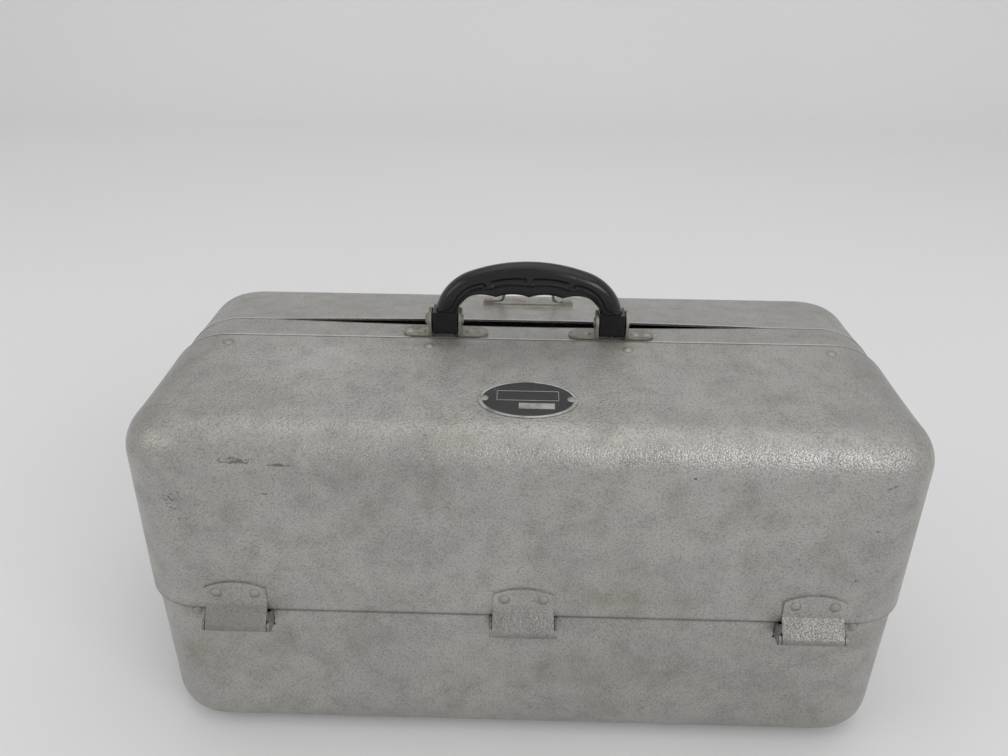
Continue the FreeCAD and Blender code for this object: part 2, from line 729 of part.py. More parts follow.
# Lids
def make_lids(front_rivets, rear_rivets, bracket_rivets):
    """Both lid shells, the strip under the front lid's edge and its rivets."""
    strip_rivets = make_strip_rivets()
    plate_rivets = make_nameplate()
    skins = lid_skins("front", "front_lid_edge")
    posts_front, posts_rear = make_link_posts(*skins)
    shell = cut("front_shell", *skins)
    fixings = group("front_fixings", [front_rivets, strip_rivets, plate_rivets, posts_front])
    add_node("front_lid_shell", cut("front_lid_bored", shell, fixings))
    strip_fixings = group("strip_fixings", [strip_rivets, bracket_rivets])
    add_node("lid_strip", cut("strip_bored", make_strip(), strip_fixings))
    back = mirror("rear_turned", cut("rear_shell", *lid_skins("rear", "rear_lid_edge")), Y_AXIS)
    bow = rod("rear_bow", "gap_rear_radius", "shoulder_height",
              ("gap_middle", "gap_rear - gap_rear_radius", "shoulder_height"), "z")
    bowed = cut("rear_bowed", back, bow)
    latch_rivets = make_latch()
    back_fixings = group("rear_fixings", [rear_rivets, latch_rivets, posts_rear])
    add_node("rear_lid_shell", cut("rear_lid_bored", bowed, back_fixings))


def lid_skins(name, edge):
    """The outer and the inner form of a lid that ends at a distance from the middle."""
    outer = lid_form(name + "_outer", "0", "parting_height", "lid_depth / 2 + overrun", edge)
    inner = lid_form(name + "_inner", "sheet", "parting_height - overrun", "lid_depth / 2 + overrun",
                     f"{edge} - overrun")
    return outer, inner


def make_strip():
    """The strip riveted under the front lid's edge: a sloped layer and a level, bowed ledge behind it."""
    near, far = "(sheet + layer_gap)", "(2 * sheet + layer_gap)"
    layer_outer = lid_form("layer_outer", near, "strip_bottom", "strip_front", "front_lid_edge")
    layer_inner = lid_form("layer_inner", far, "strip_bottom - overrun", "strip_front + overrun",
                           "front_lid_edge - overrun")
    layer = cut("strip_layer", layer_outer, layer_inner)
    doc.recompute()
    edge = -size("front_lid_edge")
    section = next(face for face in layer.Shape.Faces
                   if abs(face.BoundBox.YMax - edge) < 0.01 and face.BoundBox.YLength < 0.01)
    ledge = feature("strip_ledge", section.extrude(Y_AXIS * size("front_lid_edge + strip_rear")))
    bow = rod("strip_bow", "gap_front_radius", "shoulder_height",
              ("gap_middle", "gap_front + gap_front_radius", "shoulder_height"), "z")
    return fuse("strip", [layer, cut("strip_bowed", ledge, bow)])


def make_strip_rivets():
    """Rivets through the front lid and the strip, over the top and down both ends."""
    row = size("strip_rivet_row")
    places = []
    for end in (-1, 1):
        for x in (size("strip_rivet_inner"), size("strip_rivet_outer")):
            places.append((FreeCAD.Vector(end * x, -row, size(roof_height("strip_rivet_row"))),
                           roof_normal(FRONT)))
        for z in (size("end_rivet_low"), size("end_rivet_high")):
            places.append((FreeCAD.Vector(end * size("lid_length / 2"), -row, z), X_AXIS * end))
    return add_node("strip_rivets", rivets("strip_rivet_group", places, "2 * sheet + layer_gap"))


def make_nameplate():
    """The oval plate on the front roof, left bare, and its two rivets."""
    height = roof_height("plate_y")
    oval = bind(doc.addObject("Part::Ellipse", "plate_oval"), MajorRadius="plate_long / 2",
                MinorRadius="plate_short / 2")
    plate = doc.addObject("Part::Extrusion", "plate_solid")
    plate.Base = oval
    plate.Dir = Z_AXIS
    plate.Solid = True
    bind(plate, LengthFwd="plate_sheet")
    place(plate, 0, "-plate_y", height, X_AXIS, "roof_angle")
    lift = roof_normal(FRONT) * size("plate_sheet")
    places = []
    for end in (-1, 1):
        places.append((FreeCAD.Vector(end * size("plate_rivet_x"), -size("plate_y"), size(height)) + lift,
                       roof_normal(FRONT)))
    fixings = rivets("plate_rivet_group", places, "plate_sheet + sheet", "plate_rivet")
    add_node("nameplate_rivets", fixings)
    add_node("nameplate", cut("plate_bored", plate, fixings))
    return fixings


def make_link_posts(outer_form, inner_form):
    """Posts set flush into the lids' end walls, on which the slotted links turn."""
    outside = "(link_face + link_sheet + running_fit)"
    post = rod("link_post_body", "link_post", f"lid_length / 2 - sheet - {outside}",
               (outside, "-link_pivot_y", "link_pivot_z"), "x")
    shank = rod("link_post_shank", "pivot_stud", "lid_length / 2 - link_face + running_fit",
                ("link_face - running_fit", "-link_pivot_y", "link_pivot_z"), "x")
    head = rod("link_post_head", "pivot_head", "pivot_head_height",
               ("link_face - running_fit - pivot_head_height", "-link_pivot_y", "link_pivot_z"), "x")
    collar = common("link_post_collar", post, inner_form)
    stem = common("link_post_stem", shank, outer_form)
    front = pair("link_posts_front_pair", fuse("link_post_right", [collar, stem, head]))
    add_node("link_posts_front", front)
    rear = add_node("link_posts_rear", mirror("link_posts_rear_pair", front, Y_AXIS))
    return front, rear


# Handle
def make_brackets():
    """The four handle brackets and their rivets; gives back the rivets."""
    brackets, feet = [], []
    for end, side_name in ((-1, "left"), (1, "right")):
        for way, kind in ((-1, "inner"), (1, "outer")):
            bracket, spots = bracket_solid(f"{side_name}_{kind}", end, way)
            brackets.append((f"handle_bracket_{side_name}_{kind}", bracket))
            feet += spots
    fixings = add_node("bracket_rivets", rivets("bracket_rivet_group", feet, "bracket_sheet + sheet"))
    for label, bracket in brackets:
        add_node(label, cut(label + "_bored", bracket, fixings))
    return fixings


def bracket_solid(name, end, way):
    """One L bracket: an ear with a round top and a foot with a round end, which points a way along X."""
    sheet, width, length, seat = "bracket_sheet", "bracket_width", "foot_length", "ledge_height"
    low = "outer_ear_x" if way > 0 else f"(inner_ear_x - {sheet})"
    ear = block(name + "_ear", sheet, width, f"grip_pivot_z - {seat}",
                (low, f"grip_y - {width} / 2", seat))
    top = rod(name + "_top", f"{width} / 2", sheet, (low, "grip_y", "grip_pivot_z"), "x")
    start = low if way > 0 else f"({low} + {sheet} - {length})"
    foot_start = start if way > 0 else f"{start} + {width} / 2"
    foot = block(name + "_foot", f"{length} - {width} / 2", width, sheet,
                 (foot_start, f"grip_y - {width} / 2", seat))
    middle = f"{start} + {length} - {width} / 2" if way > 0 else f"{start} + {width} / 2"
    toe = rod(name + "_toe", f"{width} / 2", sheet, (middle, "grip_y", seat), "z")
    bore = rod(name + "_bore", "handle_pin", f"{sheet} + 2 * overrun",
               (f"{low} - overrun", "grip_y", "grip_pivot_z"), "x")
    solid = cut(name + "_bracket", fuse(name + "_plate", [ear, top, foot, toe]), bore)
    near = size(f"{low} + {sheet}") if way > 0 else size(low)
    spots = []
    for step in ("foot_rivet_near", "foot_rivet_far"):
        spots.append((FreeCAD.Vector(end * (near + way * size(step)), size("grip_y"),
                                     size(f"{seat} + {sheet}")), Z_AXIS))
    return (mirror(name + "_image", solid, X_AXIS) if end < 0 else solid), spots


def make_handle():
    """The grip and its two pins: the left pin has a tall domed head, the right one a flat head."""
    outer_face, inner_face = "(outer_ear_x + bracket_sheet)", "(inner_ear_x - bracket_sheet)"
    dome_rise = "(pin_head_dome - pin_head_rim)"
    ball_radius = f"((pin_head ^ 2 + {dome_rise} ^ 2) / (2 * {dome_rise}))"
    for side_name, rise in (("left", "pin_head_dome"), ("right", "pin_head_flat")):
        shank = rod(f"{side_name}_pin_shank", "handle_pin", f"{outer_face} - {inner_face}",
                    (inner_face, "grip_y", "grip_pivot_z"), "x")
        peen = rod(f"{side_name}_pin_peen", "pin_peen", "pin_peen_height",
                   (f"{inner_face} - pin_peen_height", "grip_y", "grip_pivot_z"), "x")
        head = rod(f"{side_name}_pin_head", "pin_head", rise, (outer_face, "grip_y", "grip_pivot_z"), "x")
        if side_name == "left":
            ball = bind(doc.addObject("Part::Sphere", "left_pin_ball"), Radius=ball_radius)
            place(ball, f"{outer_face} + pin_head_dome - {ball_radius}", "grip_y", "grip_pivot_z")
            head = common("left_pin_dome", head, ball)
        pin = fuse(f"{side_name}_pin", [shank, peen, head])
        add_node(f"handle_pin_{side_name}",
                 mirror("left_pin_image", pin, X_AXIS) if side_name == "left" else pin)
    add_node("handle_grip", feature("grip", grip_shape()))


def arch_outline(half, top, crown, turn, foot):
    """An arch: straight legs, a tight turn at each side and a wide crown, open at the foot."""
    low = top - crown
    side = half - turn
    rise = low + math.sqrt((crown - turn) ** 2 - side ** 2)
    lean = math.atan2(rise - low, side)
    joint = FreeCAD.Vector(crown * math.cos(lean), 0, low + crown * math.sin(lean))
    middle = lean / 2
    turn_middle = FreeCAD.Vector(side + turn * math.cos(middle), 0, rise + turn * math.sin(middle))

    def flip(point):
        return FreeCAD.Vector(-point.x, 0, point.z)

    start, shoulder = FreeCAD.Vector(half, 0, foot), FreeCAD.Vector(half, 0, rise)
    return [
        Part.LineSegment(start, shoulder).toShape(),
        Part.Arc(shoulder, turn_middle, joint).toShape(),
        Part.Arc(joint, FreeCAD.Vector(0, 0, top), flip(joint)).toShape(),
        Part.Arc(flip(joint), flip(turn_middle), flip(shoulder)).toShape(),
        Part.LineSegment(flip(shoulder), flip(start)).toShape(),
        Part.LineSegment(flip(start), start).toShape(),
    ]


def arch_solid(half, top, crown, turn, foot, depth):
    """The arch's outline, closed at the foot and given a depth."""
    face = Part.Face(Part.Wire(arch_outline(half, top, crown, turn, foot)))
    face.translate(FreeCAD.Vector(0, size("grip_y") - depth / 2, 0))
    return face.extrude(FreeCAD.Vector(0, depth, 0))


def grip_shape():
    """The handle: a rounded D with finger grooves on two square blocks that the pins pass through."""
    depth, pivot, y = size("grip_depth"), size("grip_pivot_z"), size("grip_y")
    half, over = size("grip_half"), size("overrun")
    foot, step = pivot - size("block_round"), pivot + size("block_rise")
    inner_top = size("grip_inner_top")
    outer = arch_solid(half, size("grip_top"), size("grip_crown"), size("grip_turn"), foot, depth)
    rims = [edge for edge in outer.Edges if edge.BoundBox.YLength < 0.01 and edge.BoundBox.ZMax > foot + 0.1]
    inner = arch_solid(size("grip_inner_half"), inner_top, size("grip_inner_crown"),
                       size("grip_inner_turn"), foot - over, depth + 2 * over)
    ring = outer.makeFillet(size("grip_round"), rims).cut(inner)
    span, rise = size("nub_spacing"), size("scallop_rise")
    radius = (span ** 2 / 4 + rise ** 2) / (2 * rise)
    for number in range(4):
        middle = (number - 1.5) * span
        groove = Part.makeCylinder(radius, depth + 2 * over, FreeCAD.Vector(
            middle, y - depth / 2 - over, inner_top + rise - radius), Y_AXIS)
        bay = Part.makeBox(span, depth + 2 * over, 2 * rise, FreeCAD.Vector(
            middle - span / 2, y - depth / 2 - over, inner_top - rise / 2))
        ring = ring.cut(groove.common(bay))
    reach = half + size("block_step")
    below = Part.makeBox(2 * reach, depth, step - foot, FreeCAD.Vector(-reach, y - depth / 2, foot))
    solids = [ring.cut(below)]
    thick = size("block_depth")
    start = size("grip_inner_half")
    for end in (-1, 1):
        x, width = (start if end > 0 else -reach), reach - start
        upper = Part.makeBox(width, thick, step - pivot, FreeCAD.Vector(x, y - thick / 2, pivot))
        lower = Part.makeBox(width, thick, pivot - foot, FreeCAD.Vector(x, y - thick / 2, foot))
        turn = Part.makeCylinder(size("block_round"), width, FreeCAD.Vector(x, y, pivot), X_AXIS)
        solids += [upper, lower.common(turn)]
    grip = solids[0].multiFuse(solids[1:])
    bore = Part.makeCylinder(size("handle_pin + running_fit"), 2 * (reach + over), FreeCAD.Vector(
        -reach - over, y, pivot), X_AXIS)
    return grip.cut(bore).removeSplitter()


# Latch
def make_latch():
    """The plate on the rear roof with two tubes along its front edge, its rivets and the wire bail."""
    height = roof_height("bail_y")
    slab = block("latch_block", "2 * latch_half", "latch_rear + latch_tube", "latch_sheet",
                 ("-latch_half", "-latch_tube", 0))
    arc = rod("latch_arc", "latch_arch", "latch_sheet + 2 * overrun",
              (0, "latch_rear - latch_arch", "-overrun"), "z")
    pieces, bores = [common("latch_slab", slab, arc)], []
    lift = "latch_sheet + latch_tube"
    for end in (-1, 1):
        start = "latch_half - latch_tube_long" if end > 0 else "-latch_half"
        pieces.append(rod(f"latch_tube_{end + 1}", "latch_tube", "latch_tube_long", (start, 0, lift), "x"))
        pieces.append(block(f"latch_foot_{end + 1}", "latch_tube_long", "2 * latch_tube", lift,
                            (start, "-latch_tube", 0)))
        bores.append(rod(f"latch_bore_{end + 1}", "bail_wire + running_fit", "latch_tube_long + 2 * overrun",
                         (f"{start} - overrun", 0, lift), "x"))
    turned = cut("latch_open", fuse("latch_solid", pieces), group("latch_bores", bores))
    place(turned, 0, "bail_y", height, FreeCAD.Vector(-1, 0, 0), "roof_angle")
    normal = roof_normal(REAR)
    along = normal.cross(X_AXIS)
    base = FreeCAD.Vector(0, size("bail_y"), size(height)) + normal * size("latch_sheet")
    places = []
    for end in (-1, 1):
        spot = base + X_AXIS * end * size("latch_rivet_x") + along * size("latch_rivet_y")
        places.append((spot, normal))
    fixings = rivets("latch_rivet_group", places, "latch_sheet + sheet", "latch_rivet")
    add_node("latch_rivets", fixings)
    add_node("latch_plate", cut("latch_bored", turned, fixings))
    add_node("latch_bail", feature("bail", bail_shape()))
    return fixings


def bail_pivot():
    """The bail's axis: its distance behind the middle and its height."""
    rise = size("latch_sheet + latch_tube")
    normal = roof_normal(REAR) * rise
    return size("bail_y") + normal.y, size(roof_height("bail_y")) + normal.z


def bail_shape():
    """The wire: feet turned outwards, two leaning legs and a top bar behind the grip."""
    y, z = bail_pivot()
    wire = size("bail_wire")
    bar_y = size("grip_y + grip_depth / 2 + bail_gap + bail_wire")
    reach = size("bail_reach")
    ahead = y - bar_y
    up = math.sqrt(reach ** 2 - ahead ** 2)
    way = FreeCAD.Vector(0, -ahead / reach, up / reach)
    base = FreeCAD.Vector(0, y, z)
    foot, low, high = size("bail_foot_half"), size("bail_base_half"), size("bail_top_half")
    corners = [X_AXIS * -foot, X_AXIS * -low, X_AXIS * -high + way * reach,
               X_AXIS * high + way * reach, X_AXIS * low, X_AXIS * foot]
    return round_wire([base + corner for corner in corners], size("bail_bend"), wire)


def round_wire(corners, bend, radius):
    """A round wire through the corners, each turned with the same bend."""
    edges = []
    start = corners[0]
    for before, corner, after in zip(corners, corners[1:], corners[2:]):
        back, ahead = (before - corner).normalize(), (after - corner).normalize()
        half = back.getAngle(ahead) / 2
        trim = bend / math.tan(half)
        first, last = corner + back * trim, corner + ahead * trim
        inwards = (back + ahead).normalize()
        middle = corner + inwards * (bend / math.sin(half) - bend)
        edges.append(Part.LineSegment(start, first).toShape())
        edges.append(Part.Arc(first, middle, last).toShape())
        start = last
    edges.append(Part.LineSegment(start, corners[-1]).toShape())
    spine = Part.Wire(edges)
    section = Part.Wire(Part.makeCircle(radius, corners[0], corners[1] - corners[0]))
    return spine.makePipeShell([section], True, False)


# Trays and arms
def tray_solid(name, index):
    """One tray: an open pan that lies over the one below."""
    length, depth = "tray_length", "(tray_front - tray_rear)"
    bottom = f"tray_bottom + {index} * tray_pitch"
    outer = rounded_prism(name + "_outer", length, depth, "tray_corner", "tray_height", bottom)
    inner = rounded_prism(name + "_inner", f"{length} - 2 * tray_sheet", f"{depth} - 2 * tray_sheet",
                          "tray_corner - tray_sheet", "tray_height", f"{bottom} + tray_sheet")
    for body in (outer, inner):
        bind(body, Placement__Base__y="-(tray_front + tray_rear) / 2")
    return cut(name + "_pan", outer, inner)


def divider_group(name, index):
    """The fixed partitions that share a tray out into equal compartments."""
    plates = []
    for number in range(DIVIDERS):
        x = f"tray_length * ({number + 1} / {DIVIDERS + 1} - 0.5) - tray_sheet / 2"
        plates.append(block(f"{name}_{number + 1}", "tray_sheet", "tray_front - tray_rear - 2 * tray_sheet",
                            "divider_height", (x, "-tray_front + tray_sheet",
                                               f"tray_bottom + {index} * tray_pitch + tray_sheet")))
    return group(name, plates)


def pivot_height(index):
    """Height of a tray's pivots."""
    return f"(tray_bottom + {index} * tray_pitch + tray_pivot_rise)"


def pivot_y(index, step="0"):
    """Place of a pivot across the box, on an arm that stands a step behind the main one."""
    return f"(({pivot_height(index)} - arm_pivot_z) * tan(arm_lean) - arm_pivot_y + ({step}))"


def along_arm(index):
    """Distance from the tub pivot to a tray's pivot along a leaning arm."""
    return f"(({pivot_height(index)} - arm_pivot_z) / cos(arm_lean))"


def leaning_bar(name, thickness, width, start, end, bores, bore):
    """A flat bar that stands along Z from start to end, with round ends and bores."""
    half = f"{width} / 2"
    pieces = [block(name + "_flat", thickness, width, f"({end}) - ({start})", (0, f"-{half}", start))]
    for tag, height in (("low", start), ("high", end)):
        pieces.append(rod(f"{name}_{tag}", half, thickness, (0, 0, height), "x"))
    holes = [rod(f"{name}_bore_{number}", bore, f"{thickness} + 2 * overrun", ("-overrun", 0, height), "x")
             for number, height in enumerate(bores)]
    return cut(name, fuse(name + "_solid", pieces), group(name + "_holes", holes))


def lean(bar, x, y, z):
    """Stand a bar at a pivot and lean it inwards."""
    return place(bar, x, y, z, FreeCAD.Vector(-1, 0, 0), "arm_lean")


def make_arms():
    """The three kinds of arm and the studs that they turn on."""
    bore = "pivot_stud + running_fit"
    main = leaning_bar("main_arm", "arm_sheet", "arm_width", "0", along_arm(2),
                       ["0", along_arm(0), along_arm(1), along_arm(2)], bore)
    drive_bore = rod("main_arm_drive_bore", "drive_stud", "arm_sheet + 2 * overrun",
                     ("-overrun", 0, "link_drive"), "x")
    main = cut("main_arm_bored", main, drive_bore)
    lean(main, "arm_face", "-arm_pivot_y", "arm_pivot_z")
    both("main_arms", main)
    inner = leaning_bar("inner_arm", "arm_sheet", "arm_width", "0", along_arm(1),
                        ["0", along_arm(0), along_arm(1)], bore)
    lean(inner, "arm_face", "-arm_pivot_y + inner_arm_step", "arm_pivot_z")
    both("inner_arms", inner)
    outer = leaning_bar("outer_arm", "arm_sheet", "arm_width", along_arm(1), along_arm(2),
                        [along_arm(1), along_arm(2)], bore)
    lean(outer, "arm_face", "-arm_pivot_y - outer_arm_step", "arm_pivot_z")
    both("outer_arms", outer)


def both(label, right):
    """The same pieces for the front and the rear of the box, at both ends."""
    front = pair(label + "_front_pair", right)
    add_node(label + "_front", front)
    add_node(label + "_rear", mirror(label + "_rear_pair", front, Y_AXIS))


def make_trays():
    """The trays with their dividers and pivots, front and rear."""
    wanted = [("0", "inner_arm_step"), ("0", "inner_arm_step", "-outer_arm_step"), ("0", "-outer_arm_step")]
    for index in range(TRAYS):
        name = f"tray_{index + 1}"
        studs = []
        for number, step in enumerate(wanted[index]):
            studs.append(tray_pivot(f"{name}_pivot_{number + 1}", pivot_y(index, step), pivot_height(index)))
        front_studs = pair(name + "_pivot_pair", group(name + "_pivots", studs))
        front = cut(name + "_bored", tray_solid(name, index), front_studs)
        partitions = divider_group(name + "_divider", index)
        for label, piece in ((name, front), (name + "_dividers", partitions),
                             (name + "_pivots", front_studs)):
            add_node("front_" + label, piece)
            add_node("rear_" + label, mirror(label + "_rear_image", piece, Y_AXIS))


def tray_pivot(name, y, z):
    """A rivet on which an arm turns: a head in the tray, a shank and a head outside the arm."""
    inside = "(tray_length / 2 - tray_sheet)"
    outside = "(arm_face + arm_sheet + running_fit)"
    shank = rod(name + "_shank", "pivot_stud", f"{outside} - {inside}", (inside, y, z), "x")
    tail = rod(name + "_tail", "pivot_head", "pivot_head_height",
               (f"{inside} - pivot_head_height", y, z), "x")
    washer = rod(name + "_washer", "pivot_head", "plate_gap - running_fit", ("tray_length / 2", y, z), "x")
    head = rod(name + "_head", "pivot_head", "pivot_head_height", (outside, y, z), "x")
    return fuse(name, [tail, shank, washer, head])


def make_links():
    """The slotted links between the lids and the main arms, and the arms' drive studs."""
    offset_y, offset_z = "(drive_y + link_pivot_y)", "(drive_z - link_pivot_z)"
    reach = f"sqrt({offset_y} ^ 2 + {offset_z} ^ 2)"
    start, end = f"({reach} - link_slot_over)", "(link_slot_end + link_slot_over)"
    sheet, half, over = "link_sheet", "link_width / 2", "link_sheet + 2 * overrun"
    flat = block("link_flat", sheet, "link_width", f"{end} + link_tip", (0, f"-{half}", 0))
    low = rod("link_low", half, sheet, (0, 0, 0), "x")
    high = rod("link_high", half, sheet, (0, 0, f"{end} + link_tip"), "x")
    slot_half = "(drive_stud + link_slot_gap)"
    slot = block("link_slot", over, f"2 * {slot_half}", f"{end} - {start}",
                 ("-overrun", f"-{slot_half}", start))
    slot_ends = [rod(f"link_slot_{tag}", slot_half, over, ("-overrun", 0, height), "x")
                 for tag, height in (("near", start), ("far", end))]
    bore = rod("link_bore", "pivot_stud + running_fit", over, ("-overrun", 0, 0), "x")
    link = cut("link", fuse("link_solid", [flat, low, high]),
               group("link_openings", [slot, bore] + slot_ends))
    place(link, "link_face", "-link_pivot_y", "link_pivot_z", FreeCAD.Vector(-1, 0, 0),
          f"90deg - atan2({offset_z}; {offset_y})")
    both("lid_links", link)
    outside = "(link_face + link_sheet + running_fit)"
    shank = rod("drive_shank", "drive_stud", f"{outside} - arm_face",
                ("arm_face", "drive_y", "drive_z"), "x")
    collar = rod("drive_collar", "pivot_head", "link_face - running_fit - arm_face - arm_sheet",
                 ("arm_face + arm_sheet", "drive_y", "drive_z"), "x")
    head = rod("drive_head", "drive_stud + link_slot_gap + drive_head_lap", "pivot_head_height",
               (outside, "drive_y", "drive_z"), "x")
    both("drive_studs", fuse("drive_stud_solid", [shank, collar, head]))


# Check and write
def write_nodes():
    """Check every object and every sub-part, then write one file for each sub-part."""
    doc.recompute()
    for item in doc.Objects:
        if "Invalid" in item.State or "Error" in item.State:
            raise RuntimeError(f"{item.Name} ({item.Label}) failed: {item.State}")
    for label, thing in nodes.items():
        if thing.Shape.isNull() or not thing.Shape.isValid() or not thing.Shape.Solids:
            raise RuntimeError(f"{label} has no sound shape")
    os.makedirs("parts", exist_ok=True)
    for label, thing in nodes.items():
        thing.Shape.exportStep(f"parts/{label}.step")
        box = thing.Shape.BoundBox
        print(f"{label:28s} solids {len(thing.Shape.Solids):3d}  volume {thing.Shape.Volume:10.1f}"
              f"  x {box.XMin:7.1f} {box.XMax:7.1f}  y {box.YMin:7.1f} {box.YMax:7.1f}"
              f"  z {box.ZMin:6.1f} {box.ZMax:6.1f}")


make_tub()
front_leaf_rivets, rear_leaf_rivets = make_lid_hinges()
make_lids(front_leaf_rivets, rear_leaf_rivets, make_brackets())
make_handle()
make_trays()
make_arms()
make_links()
write_nodes()
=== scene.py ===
"""Looks of a tackle box of grained sheet metal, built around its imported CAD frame.

Lengths are in metres in the CAD model's own frame: X runs along the box, the front faces -Y, Z is up.
"""

import logging
import math
from dataclasses import dataclass, field
from enum import Enum
from typing import Any, Dict, List, Optional, Sequence, Tuple, Union

import bmesh
import bpy
import numpy as np
from mathutils import Matrix, Vector


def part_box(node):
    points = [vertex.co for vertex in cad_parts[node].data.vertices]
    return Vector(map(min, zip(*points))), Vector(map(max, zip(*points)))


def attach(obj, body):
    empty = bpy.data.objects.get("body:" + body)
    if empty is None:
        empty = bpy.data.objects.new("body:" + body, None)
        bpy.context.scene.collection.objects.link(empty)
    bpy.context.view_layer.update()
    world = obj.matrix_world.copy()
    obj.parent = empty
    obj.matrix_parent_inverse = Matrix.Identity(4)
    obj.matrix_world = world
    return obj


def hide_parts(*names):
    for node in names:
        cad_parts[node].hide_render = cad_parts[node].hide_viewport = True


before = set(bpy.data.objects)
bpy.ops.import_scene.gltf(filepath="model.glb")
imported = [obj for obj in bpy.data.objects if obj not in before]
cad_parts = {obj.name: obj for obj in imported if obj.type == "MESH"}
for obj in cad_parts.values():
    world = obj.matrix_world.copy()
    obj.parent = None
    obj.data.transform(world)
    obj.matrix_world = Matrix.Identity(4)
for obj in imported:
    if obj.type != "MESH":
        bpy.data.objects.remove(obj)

LOG = logging.getLogger("tackle_box")
MM = 0.001
FULL_TURN = 2 * math.pi
MERGE_WITHIN = 1e-6
NO_LENGTH = 1e-7
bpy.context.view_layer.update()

Corner = Tuple[float, float]
Point = Tuple[float, float, float]
Colour = Tuple[float, float, float, float]
Level = Union[float, np.ndarray]
Settings = Dict[str, Any]
Material = bpy.types.Material
Value = Union[float, "Wire"]


def linear(red: int, green: int, blue: int) -> Colour:
    """Turn a screen colour, 0 to 255 a channel, into Blender's linear colour."""
    shares = np.array([red, green, blue]) / 255
    low = shares / 12.92
    high = ((shares + 0.055) / 1.055) ** 2.4
    return (*np.where(shares <= 0.04045, low, high).tolist(), 1.0)


class Side(Enum):
    """The two halves of the box."""

    FRONT = "front"
    REAR = "rear"


class Wire:
    """A shader socket in Python arithmetic: each operation adds one Math node."""

    def __init__(self, shader: "Shader", socket: bpy.types.NodeSocket) -> None:
        """Keep the socket and the shader that it belongs to."""
        self.shader = shader
        self.socket = socket

    def __add__(self, other: Value) -> "Wire":
        """Return self + other."""
        return self.shader.math("ADD", self, other)

    def __radd__(self, other: Value) -> "Wire":
        """Return other + self."""
        return self.shader.math("ADD", other, self)

    def __sub__(self, other: Value) -> "Wire":
        """Return self - other."""
        return self.shader.math("SUBTRACT", self, other)

    def __rsub__(self, other: Value) -> "Wire":
        """Return other - self."""
        return self.shader.math("SUBTRACT", other, self)

    def __mul__(self, other: Value) -> "Wire":
        """Return self * other."""
        return self.shader.math("MULTIPLY", self, other)

    def __rmul__(self, other: Value) -> "Wire":
        """Return other * self."""
        return self.shader.math("MULTIPLY", other, self)


